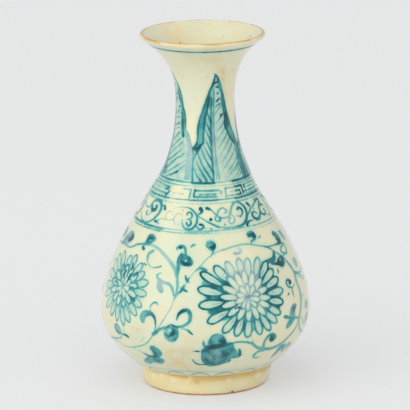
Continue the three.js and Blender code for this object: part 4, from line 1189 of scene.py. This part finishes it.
def dress(piece, outline, canvas, material, node):
    """Gives a turned section its painting, its lean and its finish, in place of its solid."""
    mesh = piece.data
    points = np.empty(len(mesh.vertices) * 3)
    mesh.vertices.foreach_get("co", points)
    points = points.reshape(-1, 3)
    heights = points[:, 2] / MM
    radii = np.hypot(points[:, 0], points[:, 1]) / MM
    degrees = np.degrees(np.arctan2(points[:, 0], -points[:, 1]))
    wall_radius, _, wall = outline.at(np.clip(heights, outline.low, outline.high))
    outer = (radii > wall_radius - wall / 2) & (heights > outline.low - 0.1)
    far = Canvas.REACH
    fields = {
        "ink": np.where(outer, canvas.sample(canvas.ink, degrees, heights), far),
        "load": np.where(outer, canvas.sample(canvas.load, degrees, heights), 0),
        "wash": np.where(outer, canvas.sample(canvas.wash, degrees, heights), 0),
        "bled": np.where(outer, canvas.sample(canvas.bled, degrees, heights), 0),
        # Where the cobalt is greyed: partly lavender cobalt, partly painted reflection of the softboxes
        "cool": patches(degrees, heights, GREYED_AND_REFLECTED_PLACES, SIDES),
        "stain": patches(degrees, heights, STAINS),
        "outer": outer.astype(float),
    }
    fields["bled"] += patches(degrees, heights, GREEN_PLACES, SIDES)
    if node == "mouth_rim":
        round_lip = np.degrees(np.arctan2(heights - outline.lip_centre[1], radii - outline.lip_centre[0]))
        crest = (heights > outline.lip_centre[1] - 3) * 1.0
        fields["dressing"] = crest * patches(degrees, round_lip, LIP_DRESSING)
        fields["iron"] = crest * patches(degrees, round_lip, LIP_IRON)
        fields["iron"] += ~outer * patches(degrees, heights, IRON_INSIDE)
        fields["chip"] = ~outer * patches(degrees, heights, MOUTH_SPECKS)
        fields["front"] = 0.5 + 0.5 * np.cos(np.radians(degrees))
    for name, values in fields.items():
        mesh.attributes.new(name, "FLOAT", "POINT").data.foreach_set("value", values)
    points[:, 0] += outline.lean(heights) * MM
    mesh.vertices.foreach_set("co", points.ravel())
    mesh.materials.append(material)
    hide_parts(node)


# Finishes, made of shader nodes. Heights are in metres here, and the two numbers of each rise are
# where a stain, a pool or a dot begins to show and where it is whole.

COAT_ROUGHNESS = 0.05
SPECULAR_LEVEL = 0.36


class Wire:
    """A socket that can stand in a sum: each sum adds its Math node."""

    def __init__(self, finish, socket):
        self.finish = finish
        self.socket = socket

    def __add__(self, other):
        return self.finish.maths("ADD", self, other)

    def __sub__(self, other):
        return self.finish.maths("SUBTRACT", self, other)

    def __rsub__(self, other):
        return self.finish.maths("SUBTRACT", other, self)

    def __mul__(self, other):
        return self.finish.maths("MULTIPLY", self, other)

    __radd__ = __add__
    __rmul__ = __mul__


class Finish:
    """One material and the nodes that make it."""

    def __init__(self, name):
        self.material = bpy.data.materials.new(name)
        self.material.use_nodes = True
        self.tree = self.material.node_tree
        self.surface = self.tree.nodes["Principled BSDF"]
        self.place = self.node("ShaderNodeTexCoord", output="Object")

    def node(self, kind, settings=None, inputs=None, output=0):
        """Adds a node with its settings, then the values or links of its sockets."""
        node = self.tree.nodes.new(kind)
        for name, value in (settings or {}).items():
            if name == "stops":
                while len(node.color_ramp.elements) < len(value):
                    node.color_ramp.elements.new(1.0)
                for element, (position, shade) in zip(node.color_ramp.elements, value):
                    element.position = position
                    element.color = (*shade, 1)
            else:
                setattr(node, name, value)
        for name, value in (inputs or {}).items():
            self.plug(node.inputs[name], value)
        return Wire(self, node.outputs[output])

    def plug(self, socket, value):
        if isinstance(value, Wire):
            self.tree.links.new(value.socket, socket)
        elif socket.type == "RGBA" and len(value) == 3:
            socket.default_value = (*value, 1)
        else:
            socket.default_value = value

    def maths(self, operation, first, second):
        return self.node("ShaderNodeMath", {"operation": operation}, {0: first, 1: second})

    def mix(self, share, first, second):
        """Colours mixed by a share."""
        return self.node("ShaderNodeMix", {"data_type": "RGBA"}, {0: share, 6: first, 7: second}, 2)

    def noise(self, scale, detail=2.0, place=None, roughness=0.5):
        inputs = {"Vector": place or self.place, "Scale": scale, "Detail": detail, "Roughness": roughness}
        return self.node("ShaderNodeTexNoise", None, inputs)

    def rise(self, value, low, high):
        """0 below low, 1 above high and smooth between."""
        return self.node("ShaderNodeMapRange", {"interpolation_type": "SMOOTHSTEP"},
                         {"Value": value, "From Min": low, "From Max": high})

    def stretched(self, scale, shift=(0.0, 0.0, 0.0)):
        inputs = {"Vector": self.place, "Scale": scale, "Location": shift}
        return self.node("ShaderNodeMapping", None, inputs)

    def pinholes(self, scale, low, high):
        """Small dots scattered in the glaze, whole up to low and gone at high."""
        inputs = {"Vector": self.place, "Scale": scale}
        away = self.node("ShaderNodeTexVoronoi", {"feature": "F1"}, inputs, "Distance")
        return 1 - self.rise(away, low, high)

    def read(self, name):
        return self.node("ShaderNodeAttribute", {"attribute_name": name}, output="Fac")

    def height(self):
        return self.node("ShaderNodeSeparateXYZ", None, {"Vector": self.place}, "Z")

    def close(self, base, roughness, bump, coat=0.35, depth=0.0004, strength=0.25):
        """Joins the surface's colour, roughness and bump, with an even clear coat."""
        self.plug(self.surface.inputs["Base Color"], base)
        self.plug(self.surface.inputs["Roughness"], roughness)
        self.surface.inputs["Coat Weight"].default_value = coat
        self.surface.inputs["Coat Roughness"].default_value = COAT_ROUGHNESS
        self.surface.inputs["Specular IOR Level"].default_value = SPECULAR_LEVEL
        normal = self.node("ShaderNodeBump", None, {"Strength": strength, "Distance": depth, "Height": bump})
        self.plug(self.surface.inputs["Normal"], normal)
        return self.material


def cobalt_over(finish, colours, ground):
    """The painting read from the canvas, laid over a ground colour, with rust stains under it."""
    ink, load, wash = finish.read("ink"), finish.read("load"), finish.read("wash")
    broad = finish.rise(finish.noise(130, 4), 0.42, 0.62)
    blotch = broad + finish.rise(finish.noise(420, 3), 0.52, 0.66) * 0.9
    ground = finish.mix(finish.read("stain") * (0.3 + blotch * 0.7), ground, colours.rust)
    ground = finish.mix(finish.rise(finish.read("bled"), 0.0, 0.42) * 0.78, ground, colours.bled)
    wobble = (finish.noise(620, 2) - 0.5) * 0.8 + (finish.noise(210, 2) - 0.5) * 0.5
    line = 1 - finish.rise(ink + wobble, -0.42, 0.46)
    grain = finish.noise(900, 3, roughness=0.7)
    cloud = finish.rise(finish.noise(130, 3), 0.3, 0.7)
    heavy = load * (0.68 + cloud * 0.3 + grain * 0.34)
    water = wash * (0.6 + cloud * 0.5 + grain * 0.3)
    strength = 1 - (1 - line * heavy) * (1 - water)
    thin, dark = (0.16, colours.ink_thin), ((0.78, colours.ink_deep), (1.0, colours.ink_heaped))
    teal_stops = (thin, (0.34, colours.ink_pale), (0.56, colours.ink_mid), *dark)
    teal = finish.node("ShaderNodeValToRGB", {"stops": teal_stops}, {"Fac": strength})
    # Grey cobalt, mixed in where the cobalt turned lavender and where the softboxes' reflection is painted
    # over the painting
    grey_stops = (thin, (0.4, colours.ink_grey_and_reflected), *dark)
    grey = finish.node("ShaderNodeValToRGB", {"stops": grey_stops}, {"Fac": strength})
    greyed_and_reflected_share = finish.rise(finish.read("cool") + (finish.noise(24, 2) - 0.5) * 0.5, 0.12, 0.9)
    shade = finish.mix(greyed_and_reflected_share * 0.8, teal, grey)
    return finish.mix(finish.rise(strength, 0.0, 0.3), ground, shade), strength


def glaze_ground(finish, colours):
    """Ivory glaze that runs green and pale in places, with warm stains low down."""
    height = finish.height()
    drift = finish.noise(11, 3, finish.stretched((1, 1, 0.45), (0.3, 0.1, 0.2)))
    ground = finish.mix(finish.rise(drift, 0.4, 0.6), colours.celadon, colours.ivory)
    mint = finish.rise(finish.noise(30, 3, finish.stretched((1, 1, 0.7), (0.1, 0.6, 0.3))), 0.5, 0.7)
    ground = finish.mix(mint * 0.55, ground, colours.mint)
    low = 1 - finish.rise(height, 0.03, 0.12)
    stain = finish.rise(finish.noise(34, 4, finish.stretched((1, 1, 1.6), (0.7, 0.2, 0.5))), 0.5, 0.68)
    ground = finish.mix(stain * (0.16 + low * 0.5), ground, colours.peach)
    return ground, height


def ripples(finish):
    """Faint throwing rings and the fine pitting of the glaze."""
    rings = finish.noise(9, 2, finish.stretched((0.6, 0.6, 22)))
    return rings * 0.7 + finish.noise(70, 2) * 0.5 + finish.noise(520, 2) * 0.14


def painted_glaze(colours):
    """Glaze of the body over its painting, amber where it runs down to the foot, with brown pinholes."""
    finish = Finish("painted_glaze")
    ground, height = glaze_ground(finish, colours)
    base, strength = cobalt_over(finish, colours, ground)
    pool = (1 - finish.rise(height + finish.noise(60) * 0.004, 0.0195, 0.0235)) * 0.7
    base = finish.mix(pool, base, colours.amber)
    speck = finish.pinholes(120, 0.03, 0.07) * finish.rise(finish.noise(40), 0.6, 0.7)
    base = finish.mix(speck * 0.6, base, colours.amber)
    return finish.close(base, 0.1 + finish.noise(60, 3) * 0.1 + strength * 0.03, ripples(finish))


def mouth_glaze(colours):
    """Glaze of the mouth: painted ring outside, iron dressing on the lip, mottled cream inside."""
    finish = Finish("mouth_glaze")
    ground, height = glaze_ground(finish, colours)
    outer = finish.read("outer")
    mottle = finish.rise(finish.noise(38, 4), 0.4, 0.66)
    inside = finish.mix(mottle * 0.8, colours.inside_cream, colours.celadon)
    smear = finish.rise(finish.noise(26, 4, finish.stretched((1, 1, 0.5), (0.2, 0.4, 0.1))), 0.54, 0.7)
    inside = finish.mix(smear * 0.6, inside, colours.peach)
    misted = finish.rise(finish.noise(90, 3), 0.5, 0.7)
    inside = finish.mix(misted * 0.5, inside, colours.mint)
    ground = finish.mix(outer, inside, ground)
    base, strength = cobalt_over(finish, colours, ground)
    crest = finish.rise(height, 0.2862, 0.2876)
    ragged = finish.noise(120, 3)
    dressing = finish.rise(finish.read("dressing") + (ragged - 0.5) * 0.5, 0.14, 0.4) * crest
    uneven = 0.3 + finish.rise(finish.noise(60, 3), 0.4, 0.6) * 0.5
    base = finish.mix(dressing * uneven, base, colours.lip_tan)
    line = finish.rise(height + ragged * 0.0006, 0.2897, 0.2902) * (0.1 + finish.read("front") * 0.35)
    thick = finish.rise(finish.read("iron") + line + (finish.noise(230, 3) - 0.5) * 0.7, 0.04, 0.44)
    base = finish.mix(thick * 0.85, base, colours.lip_brown)
    base = finish.mix(finish.rise(finish.read("chip"), 0.3, 0.7) * 0.9, base, colours.burnt)
    speck = finish.pinholes(150, 0.06, 0.12) * finish.rise(finish.noise(55), 0.5, 0.58)
    base = finish.mix(speck * (1 - outer * 0.6) * 0.8, base, colours.lip_brown)
    return finish.close(base, 0.12 + finish.noise(60, 3) * 0.1 + dressing * 0.12, ripples(finish))


def foot_glaze(colours):
    """Yellow glaze of the foot, amber where it pools and bare clay where it stands."""
    finish = Finish("foot_glaze")
    height = finish.height()
    cloud = finish.noise(55, 4)
    base = finish.mix(finish.rise(cloud, 0.42, 0.62) * 0.6, colours.foot_cream, colours.ivory)
    run = finish.noise(58, 4, finish.stretched((1, 1, 0.55)))
    under = finish.rise(height, 0.009, 0.015)
    streak = finish.rise(run, 0.44, 0.66) * (0.16 + under * 0.5)
    pooled = finish.rise(finish.read("amber") + (finish.noise(120, 3) - 0.5) * 0.7, 0.2, 0.75)
    base = finish.mix(1 - (1 - streak) * (1 - pooled * 0.9), base, colours.amber)
    base = finish.mix(finish.read("white") * 0.9, base, colours.pale_foot)
    bare = 1 - finish.rise(height + (finish.noise(160, 3) - 0.5) * 0.0016, 0.0007, 0.002)
    base = finish.mix(bare, base, colours.clay)
    base = finish.mix(finish.rise(finish.read("chip"), 0.3, 0.8) * 0.8, base, colours.burnt)
    return finish.close(base, 0.16 + finish.noise(60, 3) * 0.12 + bare * 0.5, ripples(finish))


def floor_paper(colours):
    """Pale matt paper. Where it is seen or mirrored, half of it is an even tone, for a faint shadow."""
    finish = Finish("floor_paper")
    tooth = finish.noise(40, 3)
    base = finish.mix(tooth * 0.03, colours.paper, colours.paper_grain)
    rough = 0.75 + tooth * 0.1
    material = finish.close(base, rough, finish.noise(300, 2), coat=0.0, depth=0.0002, strength=0.1)
    rays = ("Is Camera Ray", "Is Glossy Ray", "Is Transmission Ray")
    camera, glossy, clear = [finish.node("ShaderNodeLightPath", output=ray) for ray in rays]
    tone = finish.node("ShaderNodeEmission", None, {"Color": colours.backdrop})
    lit = Wire(finish, finish.surface.outputs[0])
    mixed = finish.node("ShaderNodeMixShader", None, {0: (camera + glossy + clear) * 0.5, 1: lit, 2: tone})
    finish.plug(finish.tree.nodes["Material Output"].inputs["Surface"], mixed)
    return material


# Operators


def settings(context):
    scene = context.scene
    return scene.vase_form, scene.vase_finish, scene.vase_view


class VASE_OT_foot(bpy.types.Operator):
    """Turns the foot ring"""

    bl_idname = "vase.foot"
    bl_label = "Turn the foot ring"

    def execute(self, context):
        form, finish, _ = settings(context)
        base, top = form.foot_base_radius / MM, form.foot_top_radius / MM
        chamfer, round_radius = form.foot_chamfer / MM, form.foot_round / MM
        round_centre = (top - round_radius, FOOT_TOP - round_radius)
        top_round = arc_points(round_centre, round_radius, 0, math.pi / 2, 6)
        bulge = ((base + top) / 2 + form.foot_swell / MM, FOOT_TOP / 2)
        side = []
        for t in np.linspace(0, 1, 17):
            start, middle, end = (1 - t) ** 2, 2 * t * (1 - t), t * t
            side.append(tuple(start * a + middle * b + end * c
                              for a, b, c in zip((base, chamfer), bulge, top_round[0])))
        inner = form.foot_base_inner / MM
        profile = [(inner + chamfer, 0.0), (base - chamfer, 0.0)] + side + top_round[1:]
        profile += [(form.foot_top_inner / MM, FOOT_TOP), (inner, chamfer)]
        piece = turned("foot_ring_turned", profile, form)
        mesh = piece.data
        points = np.empty(len(mesh.vertices) * 3)
        mesh.vertices.foreach_get("co", points)
        x, y, z = points.reshape(-1, 3).T
        degrees = np.degrees(np.arctan2(x, -y))
        for name, places in (("amber", FOOT_AMBER), ("white", FOOT_WHITE), ("chip", FOOT_CHIPS)):
            values = patches(degrees, z / MM, places)
            mesh.attributes.new(name, "FLOAT", "POINT").data.foreach_set("value", values)
        mesh.materials.append(foot_glaze(finish))
        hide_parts("foot_ring")
        return {"FINISHED"}


class VASE_OT_body(bpy.types.Operator):
    """Turns the body in four sections and paints it"""

    bl_idname = "vase.body"
    bl_label = "Turn and paint the body"

    def execute(self, context):
        form, finish, _ = settings(context)
        outline = Outline(form)
        canvas = Canvas(outline)
        paint_bands(canvas)
        paint_neck(canvas)
        paint_body(canvas)
        canvas.join_round()
        canvas.bleed()
        spacing, inner_spacing = form.ring_spacing / MM, form.inner_spacing / MM
        paint = painted_glaze(finish)

        floor_top = FOOT_TOP + form.floor_thickness / MM
        fillet = form.floor_fillet / MM
        wall_start = floor_top + fillet
        hollow = arc_points((outline.inner(wall_start)[0] - fillet, wall_start), fillet, 0, -math.pi / 2, 8)
        profile = [(0.0, FOOT_TOP), (form.step_radius / MM, FOOT_TOP)]
        profile += [outline.outer(h) for h in even_levels(outline, outline.low, BELLY_SEAM, spacing)]
        profile += [outline.inner(h) for h in levels(BELLY_SEAM, wall_start, inner_spacing)][:-2]
        profile += hollow + [(0.0, floor_top)]
        piece = turned("lower_body_turned", profile, form, closed=False)
        dress(piece, outline, canvas, paint, "lower_body")

        upper = (("shoulder", BELLY_SEAM, SHOULDER_SEAM), ("neck", SHOULDER_SEAM, MOUTH_SEAM))
        for node, low, high in upper:
            profile = [outline.outer(h) for h in even_levels(outline, low, high, spacing)]
            profile += [outline.inner(h) for h in levels(high, low, inner_spacing)]
            dress(turned(node + "_turned", profile, form), outline, canvas, paint, node)

        start = -outline.flare_angle
        lip = arc_points(outline.lip_centre, outline.lip_radius, start, start + math.pi, 16)
        inner_top = lip[-1][1] - form.lip_thickness / MM
        outside = even_levels(outline, MOUTH_SEAM, outline.high, spacing)[:-2]
        inside = levels(outline.high, MOUTH_SEAM, form.mouth_spacing / MM)
        profile = [outline.outer(h) for h in outside] + lip
        profile += [outline.inner(h) for h in inside if h < inner_top]
        piece = turned("mouth_rim_turned", profile, form)
        dress(piece, outline, canvas, mouth_glaze(finish), "mouth_rim")
        return {"FINISHED"}


# Softboxes: name, degrees round from the front, then distance, height, width and length in metres
SOFTBOXES = (("left_softbox", -56, 2.0, 0.80, 1.3, 1.7), ("right_softbox", 50, 2.0, 0.80, 1.2, 1.7))
# Half the floor's side and the depth of the view in metres, the broad light's tilt and turn in
# degrees, and the width of the camera's frame in millimetres
FLOOR_HALF = 6
VIEW_DEPTH = 50
BROAD_TILT = 42
BROAD_TURN = -30
SENSOR_WIDTH = 36


class VASE_OT_stage(bpy.types.Operator):
    """Lays the floor and sets the lamps and the camera"""

    bl_idname = "vase.stage"
    bl_label = "Set the stage"

    def execute(self, context):
        _, finish, view = settings(context)
        scene = context.scene
        scene.view_settings.view_transform = "Standard"

        bm = bmesh.new()
        bmesh.ops.create_grid(bm, x_segments=1, y_segments=1, size=FLOOR_HALF)
        mesh = bpy.data.meshes.new("floor")
        bm.to_mesh(mesh)
        bm.free()
        floor = bpy.data.objects.new("floor", mesh)
        scene.collection.objects.link(floor)
        mesh.materials.append(floor_paper(finish))

        aim = Vector((0, 0, RIM_TOP * MM / 2))
        powers = (view.left_power, view.right_power)
        for (name, degrees, distance, height, width, tall), power in zip(SOFTBOXES, powers):
            lamp = bpy.data.lights.new(name, "AREA")
            lamp.shape = "RECTANGLE"
            lamp.size = width
            lamp.size_y = tall
            lamp.energy = power
            rig = bpy.data.objects.new(name, lamp)
            angle = math.radians(degrees)
            rig.location = (distance * math.sin(angle), -distance * math.cos(angle), height)
            rig.rotation_euler = (aim - rig.location).to_track_quat("-Z", "Y").to_euler()
            scene.collection.objects.link(rig)
        # A broad soft light from the front left, which the glaze doesn't mirror
        broad = bpy.data.lights.new("broad_light", "SUN")
        broad.energy = view.broad_strength
        broad.angle = math.radians(view.broad_spread)
        rig = bpy.data.objects.new("broad_light", broad)
        rig.rotation_euler = (math.radians(BROAD_TILT), 0, math.radians(BROAD_TURN))
        rig.visible_glossy = False
        scene.collection.objects.link(rig)
        world = bpy.data.worlds.new("room")
        scene.world = world
        world.use_nodes = True
        backdrop = world.node_tree.nodes["Background"]
        backdrop.inputs["Color"].default_value = (*view.room_tint, 1)
        backdrop.inputs["Strength"].default_value = view.room_strength

        lens = bpy.data.cameras.new("camera")
        lens.sensor_width = SENSOR_WIDTH
        lens.lens = view.focal
        lens.shift_x = view.offset
        lens.clip_end = VIEW_DEPTH
        camera = bpy.data.objects.new("camera", lens)
        camera.location = (0, -view.distance, view.height)
        turn = Matrix.Rotation(math.radians(90 - view.pitch), 4, "X")
        turn = turn @ Matrix.Rotation(math.radians(view.roll), 4, "Z")
        camera.rotation_euler = turn.to_euler()
        scene.collection.objects.link(camera)
        scene.camera = camera
        return {"FINISHED"}


class VASE_PT_panel(bpy.types.Panel):
    """Lists the steps that make the vase"""

    bl_idname = "VASE_PT_panel"
    bl_label = "Bottle vase"
    bl_space_type = "VIEW_3D"
    bl_region_type = "UI"
    bl_category = "Vase"

    def draw(self, context):
        for step in STEPS:
            self.layout.operator(step.bl_idname)


STEPS = (VASE_OT_foot, VASE_OT_body, VASE_OT_stage)
GROUPS = {"vase_form": VaseForm, "vase_finish": VaseFinish, "vase_view": VaseView}


def register():
    for part in (*GROUPS.values(), *STEPS, VASE_PT_panel):
        bpy.utils.register_class(part)
    for name, group in GROUPS.items():
        setattr(bpy.types.Scene, name, PointerProperty(type=group))


def unregister():
    for name in GROUPS:
        delattr(bpy.types.Scene, name)
    for part in reversed((*GROUPS.values(), *STEPS, VASE_PT_panel)):
        bpy.utils.unregister_class(part)


def main():
    register()
    bpy.ops.vase.foot()
    bpy.ops.vase.body()
    bpy.ops.vase.stage()


if __name__ == "__main__":
    main()
